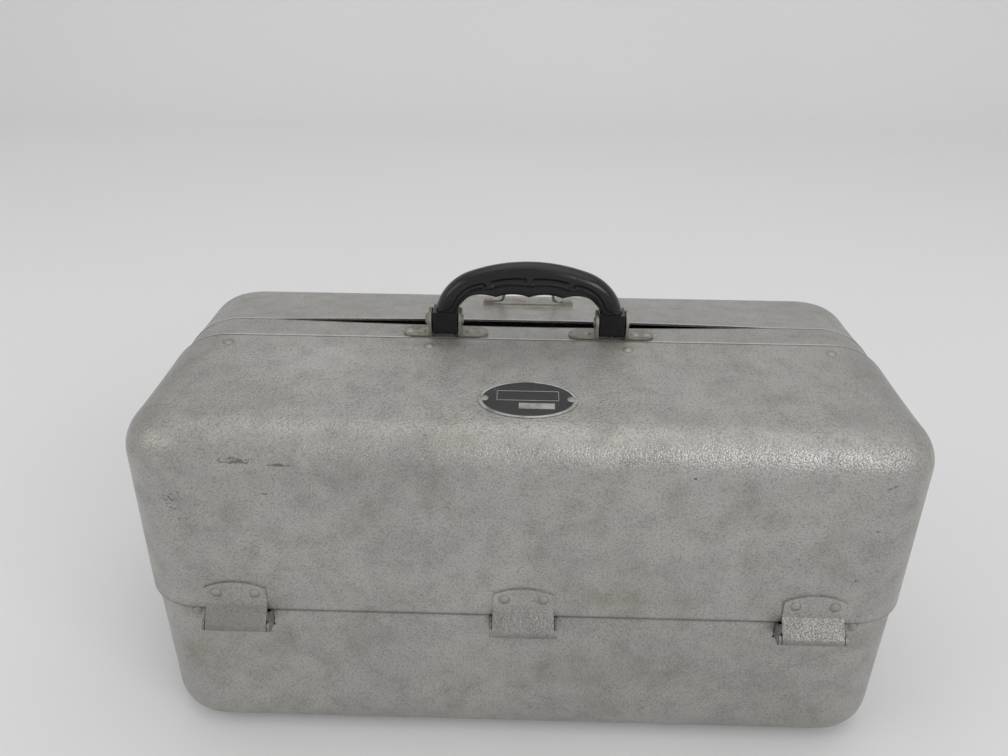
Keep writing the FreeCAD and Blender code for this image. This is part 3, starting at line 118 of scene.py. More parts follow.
class Shader:
    """One material's nodes, written as Python expressions."""

    def __init__(self, name: str) -> None:
        """Make an empty material.

        Args:
            name: The material's name.
        """
        self.material = bpy.data.materials.new(name)
        self.material.use_nodes = True
        self.tree = self.material.node_tree
        self.tree.nodes.clear()

    def node(self, kind: str, settings: Optional[Settings] = None,
             sockets: Optional[Dict[Union[int, str], Any]] = None, output: Union[int, str] = 0) -> Wire:
        """Add one node.

        Args:
            kind: The node's type.
            settings: Its properties, set first.
            sockets: Values or wires for its inputs.
            output: Which output to hand back.

        Returns:
            The chosen output.
        """
        made = self.tree.nodes.new(kind)
        for name, setting in (settings or {}).items():
            setattr(made, name, setting)
        for key, content in (sockets or {}).items():
            if isinstance(content, Wire):
                self.tree.links.new(content.socket, made.inputs[key])
            else:
                made.inputs[key].default_value = content
        return Wire(self, made.outputs[output])

    def math(self, operation: str, *operands: Value) -> Wire:
        """Add a Math node.

        Args:
            operation: The Math node's operation.
            operands: Its inputs in order.

        Returns:
            The result.
        """
        return self.node("ShaderNodeMath", {"operation": operation}, dict(enumerate(operands)))

    def place(self) -> Wire:
        """Return the point on the object, in metres."""
        return self.node("ShaderNodeTexCoord", output="Object")

    def mapped(self, vector: Wire, scale: Point, offset: Point = (0, 0, 0)) -> Wire:
        """Return a vector moved and stretched."""
        return self.node("ShaderNodeMapping", {}, {"Vector": vector, "Location": offset, "Scale": scale})

    def axis(self, vector: Wire, name: str) -> Wire:
        """Return one component of a vector, by its letter."""
        return self.node("ShaderNodeSeparateXYZ", {}, {0: vector}, name)

    def noise(self, vector: Wire, scale: float, detail: float, rough: float = 0.5) -> Wire:
        """Return smooth noise.

        Args:
            vector: Where it is read.
            scale: Waves a metre.
            detail: Number of finer layers.
            rough: Strength of each finer layer.

        Returns:
            Values near 0.5 that stay between 0 and 1.
        """
        return self.node("ShaderNodeTexNoise", {}, {"Vector": vector, "Scale": scale, "Detail": detail,
                                                    "Roughness": rough})

    def cells(self, vector: Wire, scale: float) -> Wire:
        """Return the distance to the nearest of many scattered points, in cells."""
        return self.node("ShaderNodeTexVoronoi", {"feature": "F1"}, {"Vector": vector, "Scale": scale},
                         "Distance")

    def near(self, value: Wire, middle: float, reach: float) -> Wire:
        """Return 1 where a value is at the middle, falling to 0 at the reach to either side."""
        return self.ease(self.math("ABSOLUTE", value - middle), reach, reach * 0.2)

    def ease(self, value: Wire, low: float, high: float) -> Wire:
        """Return 0 below low, 1 above high and a smooth step between; low may be the larger."""
        return self.node("ShaderNodeMapRange", {"interpolation_type": "SMOOTHSTEP"},
                         {"Value": value, "From Min": low, "From Max": high})

    def spot(self, vector: Wire, centre: Point, reach: Point) -> Wire:
        """Return a soft blob.

        Args:
            vector: The point on the object.
            centre: The blob's middle.
            reach: Its half sizes along the three axes.

        Returns:
            1 in the middle, falling to 0 at the reach.
        """
        scale = tuple(1 / size for size in reach)
        offset = tuple(-at / size for at, size in zip(centre, reach))
        local = self.mapped(vector, scale, offset)
        distance = self.node("ShaderNodeVectorMath", {"operation": "LENGTH"}, {0: local}, "Value")
        return self.ease(distance, 1.0, 0.15)

    def blend(self, share: Value, base: Union[Wire, Colour], top: Union[Wire, Colour]) -> Wire:
        """Return a colour that goes from base to top with the share."""
        return self.node("ShaderNodeMix", {"data_type": "RGBA"}, {0: share, 6: base, 7: top}, 2)

    def bump(self, height: Wire, distance: float) -> Wire:
        """Return a normal raised by a height, given in units of a distance in metres."""
        return self.node("ShaderNodeBump", {}, {"Height": height, "Distance": distance, "Strength": 1.0})

    def surface(self, sockets: Dict[Union[int, str], Any]) -> Material:
        """Finish the material with one surface shader.

        Args:
            sockets: Values or wires for the surface shader.

        Returns:
            The material.
        """
        face = self.node("ShaderNodeBsdfPrincipled", {}, sockets)
        output = self.tree.nodes.new("ShaderNodeOutputMaterial")
        self.tree.links.new(face.socket, output.inputs["Surface"])
        return self.material


@dataclass(frozen=True)
class Mark:
    """A stain or a scuffed spot on the sheet."""

    centre: Point
    reach: Point
    strength: float


def mark(x: float, y: float, z: float, wide: float, high: float, strength: float) -> Mark:
    """Return a mark from sizes in millimetres: its middle, its width and height, and its strength."""
    return Mark((x * MM, y * MM, z * MM), (wide / 2 * MM, high / 2 * MM, high / 2 * MM), strength)


# The front wall's Y, in millimetres as mark takes it.
WALL = -109.5
SCUFFS = (
    mark(-157, WALL, 206, 42, 8, 0.9),
    mark(-133, WALL, 203.5, 26, 5, 0.9),
    mark(-194, WALL, 178, 30, 46, 0.55),
    mark(-140, WALL, 185.4, 18, 3.5, 0.8),
    mark(-175, WALL, 31.7, 14, 4, 0.9),
    mark(-132, WALL, 23, 8, 3.5, 0.9),
    mark(-93, WALL, 59, 6, 4, 0.8),
    mark(-130, WALL, 63.5, 8, 5, 0.7),
    mark(194, WALL, 198.4, 12, 6, 0.8),
    mark(193, WALL, 169.5, 10, 6, 0.6),
    mark(90, WALL, 201.3, 5, 3.5, 0.9),
    mark(148, -97.8, 221.7, 22, 6, 0.5),
    mark(-100, -66.5, 226.3, 5, 5, 0.6),
    mark(-130, -89.4, 223, 7, 6, 0.6),
    mark(187, WALL, 135, 5, 4, 0.9),
    mark(198, WALL, 142, 4, 4, 0.8),
)
STAINS = (
    mark(-194, WALL, 62, 44, 60, 0.5),
    mark(168, -99.6, 221.4, 14, 10, 0.8),
    mark(-63, -48.7, 229, 10, 18, 0.7),
    mark(72, WALL, 118, 130, 18, 0.4),
    mark(62, -16, 233, 40, 12, 0.4),
    mark(-62, -16, 233, 60, 12, 0.4),
    mark(0, 58, 229, 84, 18, 1.0),
    mark(-190, WALL, 100, 60, 24, 0.5),
    mark(30, WALL, 60, 210, 40, 0.25),
)
WIPED = (
    mark(-118, -35, 231, 84, 44, 1.0),
)


@dataclass(frozen=True)
class Ring:
    """A rivet with a thin ring of painted shade round its rim: its distance from the middle along X, its
    Y and its height.
    """

    x: float
    y: float
    z: float
    radius: float = 2.8 * MM


def ring(x: float, y: float, z: float) -> Ring:
    """Return a ring from places in millimetres; it counts on both sides of the middle along X."""
    return Ring(x * MM, y * MM, z * MM)


LEAF_RINGS = tuple(ring(x, y, 116.5) for x in (11.2, 155.8, 178.2) for y in (-110.7, 110.7))
SHELL_RINGS = (
    ring(60.5, -18, 233.4),
    ring(183.5, -18, 233.4),
    ring(228.5, -18, 118),
    ring(228.5, -18, 186),
    ring(192.5, -107.7, 99.5),
    ring(192.5, 107.7, 99.5),
)


@dataclass(frozen=True)
class Seam:
    """A line along the roof that may bow: its Y is edge + bow (1 - t^2).

    Here t is the distance from the middle along X in half lengths, at most 1. The line shows as far as
    its reach to either side.
    """

    edge: float
    reach: float
    bow: float = 0.0
    middle: float = -5.0 * MM
    half: float = 160.0 * MM


# The roof's lines run from the front to the rear; they show from ROOF_START up, in full at ROOF_FULL.
ROOF_START, ROOF_FULL = 222 * MM, 226 * MM
# LID_EDGE is painted shade with dirt on the front lid's rear edge, STRIP_EDGE a painted shadow under the
# rear lid's edge, and LEDGE_LINE and REAR_EDGE painted highlights on the folded edges.
LID_EDGE = Seam(-9.8 * MM, 0.9 * MM)
LEDGE_LINE = Seam(-5.9 * MM, 1.6 * MM)
STRIP_EDGE = Seam(18.1 * MM, 0.9 * MM, -5.7 * MM)
REAR_EDGE = Seam(20.0 * MM, 1.1 * MM, 7.6 * MM)


@dataclass(frozen=True)
class GrainedSheet:
    """Pressed aluminium with a pebbled face, dulled, specked and stained by use."""

    name: str
    colour: Colour = linear(178, 177, 172)
    dark: Colour = linear(92, 91, 88)
    brown: Colour = linear(124, 113, 92)
    pale: Colour = linear(222, 222, 221)
    violet: Colour = linear(172, 166, 172)
    olive: Colour = linear(150, 147, 128)
    cells_per_metre: float = 900.0
    bend_waves: float = 450.0
    fine_waves: float = 1900.0
    cloud_waves: float = 9.0
    mottle_waves: float = 70.0
    speck_waves: float = 420.0
    tint_waves: float = 33.0
    bend_scale: float = 500.0
    cloud_share: float = 0.2
    mottle_share: float = 0.26
    violet_share: float = 0.26
    olive_share: float = 0.16
    crease_shade_share: float = 0.3
    glint_share: float = 0.4
    speck_share: float = 0.65
    web_share: float = 0.42
    wiped_share: float = 0.14
    shine_share: float = 0.8
    scuff_share: float = 0.75
    scuff_depth: float = 0.6
    scuff_waves: float = 480.0
    dirt_reach: float = 4 * MM
    line_reach: float = 2.2 * MM
    grain_height: float = 0.16 * MM
    metallic: float = 0.72
    roughness: float = 0.34
    parting: float = 102.9 * MM
    shaded_web_top: float = 0.0
    has_seams: bool = True
    rings: Tuple[Ring, ...] = SHELL_RINGS
    scuffs: Tuple[Mark, ...] = ()
    stains: Tuple[Mark, ...] = ()
    wiped: Tuple[Mark, ...] = ()

    def material(self) -> Material:
        """Build the sheet's material.

        Returns:
            A metal whose grain is the distance to scattered points, bent by noise. Colour goes darker in
            slow cloudy patches and in specks, violet or olive in a slow tint, brown in the stains, and
            dark in the scuffs. Painted shade darkens the grain's creases, a thin ring round each rivet, a
            hinge's web and the seams, with some dirt on the front lid's rear edge; painted glints and
            painted highlights on the roof's folded edges make it pale.
        """
        shader = Shader(self.name)
        place = shader.place()
        bend = shader.noise(place, self.bend_waves, 1)
        wide = shader.mapped(place, (self.bend_scale,) * 3)
        bent = shader.node("ShaderNodeVectorMath", {"operation": "MULTIPLY_ADD"},
                           {0: (1, 1, 1), 1: bend, 2: wide})
        pebble = shader.cells(bent, self.cells_per_metre / self.bend_scale)
        fine = shader.noise(place, self.fine_waves, 2)
        height = 1.1 - pebble * pebble * 1.5 + fine * 0.25
        cloud = shader.noise(place, self.cloud_waves, 4, 0.62)
        mottle = shader.noise(place, self.mottle_waves, 3, 0.6)
        speck = shader.ease(shader.noise(place, self.speck_waves, 3, 0.7), 0.66, 0.73)
        patch = shader.ease(mottle, 0.5, 0.66)
        colour = shader.blend(shader.ease(cloud, 0.32, 0.72) * self.cloud_share, self.colour, self.dark)
        colour = shader.blend(shader.ease(mottle, 0.35, 0.75) * self.mottle_share, colour, self.dark)
        tint = shader.noise(place, self.tint_waves, 4, 0.6)
        colour = shader.blend(shader.ease(tint, 0.46, 0.66) * self.violet_share, colour, self.violet)
        colour = shader.blend(shader.ease(tint, 0.5, 0.34) * self.olive_share, colour, self.olive)
        # Painted shade: the grain's creases between the pebbles are darkened.
        colour = shader.blend(shader.ease(pebble, 0.4, 0.8) * self.crease_shade_share, colour, self.dark)
        # Painted glints: pale flecks where the fine noise is high.
        colour = shader.blend(shader.ease(fine, 0.54, 0.7) * self.glint_share, colour, self.pale)
        colour = shader.blend(speck * patch * self.speck_share, colour, self.dark)
        # Painted shade on a hinge's web, below its crease.
        if self.shaded_web_top:
            web = shader.ease(shader.axis(place, "Z"), self.shaded_web_top + 0.2 * MM, self.shaded_web_top - 0.4 * MM)
            colour = shader.blend(web * self.web_share, colour, self.dark)
        wiped = self._marks(shader, place, self.wiped)
        if wiped is not None:
            colour = shader.blend(wiped * self.wiped_share, colour, self.pale)
        stain = self._grime(shader, place, mottle)
        colour = shader.blend(stain, colour, self.brown)
        # Painted highlights along the roof's folded edges.
        if self.has_seams:
            shine = self._highlight_lines(shader, place) * self.shine_share
            colour = shader.blend(shine, colour, self.pale)
        # Painted shade round rivets and along the seams, with dirt on the front lid's rear edge.
        lines = self._shade_and_dirt_lines(shader, place, mottle)
        colour = shader.blend(lines, colour, self.dark)
        rough = self.roughness + mottle * 0.1 + speck * patch * 0.15 + stain * 0.1
        scuff = self._marks(shader, place, self.scuffs)
        if scuff is not None:
            thin = shader.noise(shader.mapped(place, (0.6, 1, 1.5)), self.scuff_waves, 4, 0.75)
            ragged = shader.ease(scuff + (thin - 0.66) * 3.0, 0.2, 0.4)
            colour = shader.blend(ragged * self.scuff_share, colour, self.dark)
            rough = rough + ragged * 0.2
            height = height - ragged * self.scuff_depth
        return shader.surface({
            "Base Color": colour, "Metallic": self.metallic, "Roughness": rough,
            "Normal": shader.bump(height, self.grain_height),
        })

    def _grime(self, shader: Shader, place: Wire, mottle: Wire) -> Wire:
        """Return how much brown dirt lies in the stains and by the parting, broken up by noise."""
        total = shader.ease(mottle, 0.62, 0.8) * 0.15
        if self.has_seams:
            total = total + shader.near(shader.axis(place, "Z"), self.parting, self.dirt_reach) * 0.3
        stain = self._marks(shader, place, self.stains)
        if stain is not None:
            total = total + stain * 0.8
        return shader.math("MINIMUM", total * (0.15 + mottle * 1.1), 0.85)

    def _shade_and_dirt_lines(self, shader: Shader, place: Wire, mottle: Wire) -> Wire:
        """Return the painted shade in a thin ring round each rivet and along the seams, with dirt too on
        the front lid's rear edge.
        """
        x = shader.math("ABSOLUTE", shader.axis(place, "X"))
        z = shader.axis(place, "Z")
        folded = shader.node("ShaderNodeCombineXYZ", {}, {0: x, 1: shader.axis(place, "Y"), 2: z})
        total: Value = 0.0
        # Painted shade in a thin ring round each rivet's rim.
        for item in self.rings:
            away = shader.node("ShaderNodeVectorMath", {"operation": "DISTANCE"},
                               {0: folded, 1: (item.x, item.y, item.z)}, "Value")
            total = total + shader.near(away, item.radius + 0.1 * MM, 0.6 * MM) * 0.7
        if self.has_seams:
            top = self._on_roof(shader, place)
            # Painted shade in the gap under the lid's lower edge at the parting.
            total = total + shader.near(z, self.parting, self.line_reach)
            # Painted shade and dirt on the front lid's rear edge, and a painted shadow under the rear
            # lid's edge.
            for item in (LID_EDGE, STRIP_EDGE):
                total = total + self._seam(shader, place, item) * top * 0.8
        return shader.math("MINIMUM", total * (0.6 + mottle * 0.5), 0.8)

    def _highlight_lines(self, shader: Shader, place: Wire) -> Wire:
        """Return the painted highlights where the roof's folded edges shine."""
        shine = self._seam(shader, place, LEDGE_LINE) + self._seam(shader, place, REAR_EDGE)
        return shine * self._on_roof(shader, place)

    @staticmethod
    def _on_roof(shader: Shader, place: Wire) -> Wire:
        """Return 1 on the roof near the ridge and 0 below it."""
        return shader.ease(shader.axis(place, "Z"), ROOF_START, ROOF_FULL)

    @staticmethod
    def _seam(shader: Shader, place: Wire, item: Seam) -> Wire:
        """Return 1 along a seam, falling to 0 at its reach to either side."""
        y = shader.axis(place, "Y")
        if item.bow:
            along = (shader.axis(place, "X") - item.middle) * (1 / item.half)
            y = y - (1.0 - shader.math("MINIMUM", along * along, 1.0)) * item.bow
        return shader.near(y, item.edge, item.reach)

    @staticmethod
    def _marks(shader: Shader, place: Wire, marks: Sequence[Mark]) -> Optional[Wire]:
        """Return the sum of all marks, or nothing where there are none."""
        total: Optional[Wire] = None
        for item in marks:
            blob = shader.spot(place, item.centre, item.reach) * item.strength
            total = blob if total is None else total + blob
        return total


@dataclass(frozen=True)
class PlainMetal:
    """Smooth sheet, strip or wire with a drawn grain and a few dull patches."""

    name: str
    colour: Colour
    dull: Colour
    roughness: float = 0.35
    metallic: float = 0.95
    stretch: Point = (1.0, 12.0, 12.0)
    grain_scale: float = 260.0
    patch_waves: float = 70.0
    fine_waves: float = 900.0
    dull_share: float = 0.8
    grain_height: float = 0.02 * MM

    def material(self) -> Material:
        """Build the metal.

        Returns:
            A metal whose fine lines are noise squeezed across one axis, with cloudy dull patches.
        """
        shader = Shader(self.name)
        place = shader.place()
        lines = shader.noise(shader.mapped(place, self.stretch), self.grain_scale, 3, 0.6)
        patch = shader.noise(place, self.patch_waves, 4, 0.65)
        dull = shader.ease(patch, 0.45, 0.72)
        colour = shader.blend(dull * self.dull_share, self.colour, self.dull)
        rough = self.roughness + dull * 0.2 + lines * 0.1
        height = lines + shader.noise(place, self.fine_waves, 2) * 0.6
        return shader.surface({
            "Base Color": colour, "Metallic": self.metallic, "Roughness": rough,
            "Normal": shader.bump(height, self.grain_height),
        })


@dataclass(frozen=True)
class MouldedPlastic:
    """Glossy moulded plastic with fine scratches, dust and a faintly wavy face."""

    name: str
    colour: Colour = linear(13, 13, 16)
    dust: Colour = linear(92, 96, 104)
    roughness: float = 0.22
    cloud_waves: float = 60.0
    scratch_waves: float = 240.0
    dust_waves: float = 700.0
    face_waves: float = 45.0
    face_height: float = 0.2 * MM

    def material(self) -> Material:
        """Build the plastic.

        Returns:
            A dark gloss that is duller in cloudy patches, with thin pale scratches and dust specks.
        """
        shader = Shader(self.name)
        place = shader.place()
        cloud = shader.noise(place, self.cloud_waves, 4, 0.6)
        scratch_field = shader.noise(shader.mapped(place, (1, 5, 9)), self.scratch_waves, 2, 0.5)
        scratch = shader.ease(scratch_field, 0.66, 0.72)
        dust = shader.ease(shader.noise(place, self.dust_waves, 2, 0.6), 0.68, 0.76)
        colour = shader.blend(scratch * 0.1 + dust * 0.2, self.colour, self.dust)
        rough = self.roughness + shader.ease(cloud, 0.4, 0.75) * 0.14 + scratch * 0.2
        waves = shader.noise(place, self.face_waves, 1) * 0.8 + scratch * 0.05 + dust * 0.05
        return shader.surface({
            "Base Color": colour, "Metallic": 0.0, "Roughness": rough, "IOR": 1.42,
            "Coat Weight": 0.12, "Coat Roughness": 0.06,
            "Normal": shader.bump(waves, self.face_height),
        })


@dataclass(frozen=True)
class Enamel:
    """Baked enamel in the etched field of a plate, with worn spots."""

    name: str
    colour: Colour = linear(34, 35, 37)
    worn: Colour = linear(120, 121, 120)
    wear_waves: float = 420.0
    haze_waves: float = 120.0
    face_height: float = 0.03 * MM

    def material(self) -> Material:
        """Build the enamel: dark, half glossy, with small worn spots where fine noise is high."""
        shader = Shader(self.name)
        place = shader.place()
        wear = shader.ease(shader.noise(place, self.wear_waves, 4, 0.7), 0.6, 0.74)
        haze = shader.noise(place, self.haze_waves, 3, 0.6)
        colour = shader.blend(wear * 0.5 + haze * 0.08, self.colour, self.worn)
        return shader.surface({
            "Base Color": colour, "Metallic": 0.0, "Roughness": 0.38 + haze * 0.25,
            "Normal": shader.bump(haze + wear * 0.4, self.face_height),
        })


@dataclass(frozen=True)
class PaleGround:
    """The plain pale floor and wall behind the box."""

    name: str
    colour: Colour = linear(224, 224, 226)
    cloud_waves: float = 1.3
    lift: float = 1.05
    roughness: float = 0.9

    def material(self) -> Material:
        """Build the ground: a flat pale paint with a very faint cloud."""
        shader = Shader(self.name)
        cloud = shader.noise(shader.place(), self.cloud_waves, 2, 0.5)
        lighter = tuple(min(1.0, part * self.lift) for part in self.colour[:3]) + (1.0,)
        colour = shader.blend(cloud, self.colour, lighter)
        return shader.surface({"Base Color": colour, "Roughness": self.roughness})


def make_surface(name: str, grid: np.ndarray, sharp_angle: float,
                 wrap_columns: bool = False) -> bpy.types.Object:
    """Make a mesh from a grid of points.

    Each point joins its neighbours in both directions, so cell (i, j) is the face through points
    (i, j), (i + 1, j), (i + 1, j + 1) and (i, j + 1). The last column may join the first.
    Points that fall together, as at a pole, are merged and all faces are turned outwards.

    Args:
        name: The piece's name.
        grid: Points, shaped (rows, columns, 3).
        sharp_angle: Edges that turn by more than this stay sharp.
        wrap_columns: Whether the last column joins the first.

    Returns:
        The object, at the origin.
    """
    rows, columns = grid.shape[:2]
    column = np.arange(columns if wrap_columns else columns - 1)
    first, second = np.meshgrid(np.arange(rows - 1), column, indexing="ij")
    after = (second + 1) % columns
    corners = ((first, second), (first + 1, second), (first + 1, after), (first, after))
    faces = np.stack([a * columns + b for a, b in corners], axis=-1).reshape(-1, 4)
    mesh = bpy.data.meshes.new(name)
    mesh.from_pydata(grid.reshape(-1, 3).tolist(), [], faces.tolist())
    return finish_mesh(name, mesh, sharp_angle)


def finish_mesh(name: str, mesh: bpy.types.Mesh, sharp_angle: float) -> bpy.types.Object:
    """Merge what falls together, turn faces outwards, shade smooth and put the mesh in the scene.

    Args:
        name: The piece's name.
        mesh: Its mesh.
        sharp_angle: Edges that turn by more than this stay sharp.

    Returns:
        The object, at the origin.
    """
    work = bmesh.new()
    work.from_mesh(mesh)
    bmesh.ops.remove_doubles(work, verts=work.verts, dist=MERGE_WITHIN)
    bmesh.ops.dissolve_degenerate(work, edges=work.edges, dist=NO_LENGTH)
    bmesh.ops.recalc_face_normals(work, faces=work.faces)
    work.to_mesh(mesh)
    work.free()
    mesh.shade_smooth()
    mesh.set_sharp_from_angle(angle=sharp_angle)
    piece = bpy.data.objects.new(name, mesh)
    bpy.context.scene.collection.objects.link(piece)
    return piece


def join_pieces(name: str, pieces: Sequence[bpy.types.Object]) -> bpy.types.Object:
    """Put several pieces' meshes into one, keeping their materials.

    Args:
        name: The joined piece's name.
        pieces: What is joined; they are removed.

    Returns:
        The joined piece.
    """
    materials: List[Material] = []
    work = bmesh.new()
    for piece in pieces:
        start = len(work.faces)
        work.from_mesh(piece.data)
        work.faces.ensure_lookup_table()
        slots = list(piece.data.materials)
        for slot in slots:
            if slot not in materials:
                materials.append(slot)
        for face in work.faces[start:]:
            face.material_index = materials.index(slots[min(face.material_index, len(slots) - 1)])
        bpy.data.objects.remove(piece)
    mesh = bpy.data.meshes.new(name)
    work.to_mesh(mesh)
    work.free()
    for material in materials:
        mesh.materials.append(material)
    joined = bpy.data.objects.new(name, mesh)
    bpy.context.scene.collection.objects.link(joined)
    return joined


def dress(names: Sequence[str], material: Material) -> None:
    """Give CAD nodes a material.

    Args:
        names: The nodes.
        material: What they get.
    """
    for name in names:
        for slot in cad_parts[name].material_slots:
            slot.material = material
        LOG.info("dressed %s with %s", name, material.name)


def report(piece: bpy.types.Object, body: str, replaced: Sequence[str]) -> None:
    """Hang a new piece on a body and say so.

    Args:
        piece: The piece.
        body: The CAD body that it rides on.
        replaced: CAD nodes that it stands for.
    """
    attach(piece, body)
    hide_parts(*replaced)
    LOG.info("made %s with %d faces on %s", piece.name, len(piece.data.polygons), body)


def built(finish: Union[GrainedSheet, PlainMetal, MouldedPlastic, Enamel]) -> Any:
    """Return a dataclass field that is filled with the finish's material."""
    return field(default_factory=finish.material)


@dataclass
class Finishes:
    """Every material of the box, built once, in this order."""

    shell: Material = built(GrainedSheet("grained_shell", scuffs=SCUFFS, stains=STAINS, wiped=WIPED))
    # The leaf's web below its crease gets painted shade.
    leaf: Material = built(GrainedSheet(
        "grained_leaf", rings=LEAF_RINGS, has_seams=False, shaded_web_top=108.4 * MM))
    rivet: Material = built(PlainMetal(
        "worn_rivet", linear(160, 159, 154), linear(132, 130, 122), roughness=0.45, metallic=0.75,
        stretch=(1, 1, 1)))
    tray: Material = built(PlainMetal(
        "rolled_tray_sheet", linear(196, 198, 200), linear(150, 151, 152), roughness=0.34))
    bracket: Material = built(PlainMetal(
        "stained_bracket_steel", linear(152, 149, 140), linear(112, 104, 88), roughness=0.42,
        stretch=(1, 1, 1)))
    latch: Material = built(PlainMetal(
        "stained_latch_sheet", linear(158, 156, 149), linear(120, 108, 84), roughness=0.45, metallic=0.8,
        stretch=(1, 1, 1), grain_scale=420))
    arm: Material = built(PlainMetal(
        "plated_arm_steel", linear(178, 180, 184), linear(130, 131, 133), roughness=0.3,
        stretch=(12, 12, 1)))
    wire: Material = built(PlainMetal(
        "drawn_wire", linear(150, 148, 142), linear(104, 98, 86), roughness=0.35, stretch=(1, 1, 1)))
    grip: Material = built(MouldedPlastic("moulded_grip"))
    enamel: Material = built(Enamel("plate_enamel_black"))
    silver: Material = built(PlainMetal(
        "plate_silver", linear(188, 188, 184), linear(128, 126, 120), roughness=0.38,
        stretch=(1, 1, 1), grain_scale=500))


@dataclass
class Shells:
    """The tub and both lids in grained sheet."""

    sheets: Tuple[str, ...] = ("tub_shell", "front_lid_shell", "rear_lid_shell", "lid_strip")

    def build(self, finishes: Finishes) -> None:
        """Dress the pressed sheets."""
        dress(self.sheets, finishes.shell)


@dataclass
class Hinges:
    """The hinge leaves, their brackets, pins and rivets."""

    def build(self, finishes: Finishes) -> None:
        """Dress the hinges of both lids."""
        for side in Side:
            dress([f"{side.value}_hinge_leaves", f"tub_hinge_brackets_{side.value}"], finishes.leaf)
            dress([f"hinge_pins_{side.value}"], finishes.arm)
            dress([f"{side.value}_hinge_rivets"], finishes.rivet)


@dataclass
class Fixings:
    """The single rivets and buttons of the shells."""

    names: Tuple[str, ...] = ("arm_bracket_rivets", "strip_rivets", "nameplate_rivets", "latch_rivets",
                              "bracket_rivets", "link_posts_front", "link_posts_rear")

    def build(self, finishes: Finishes) -> None:
        """Dress the fixings."""
        dress(self.names, finishes.rivet)


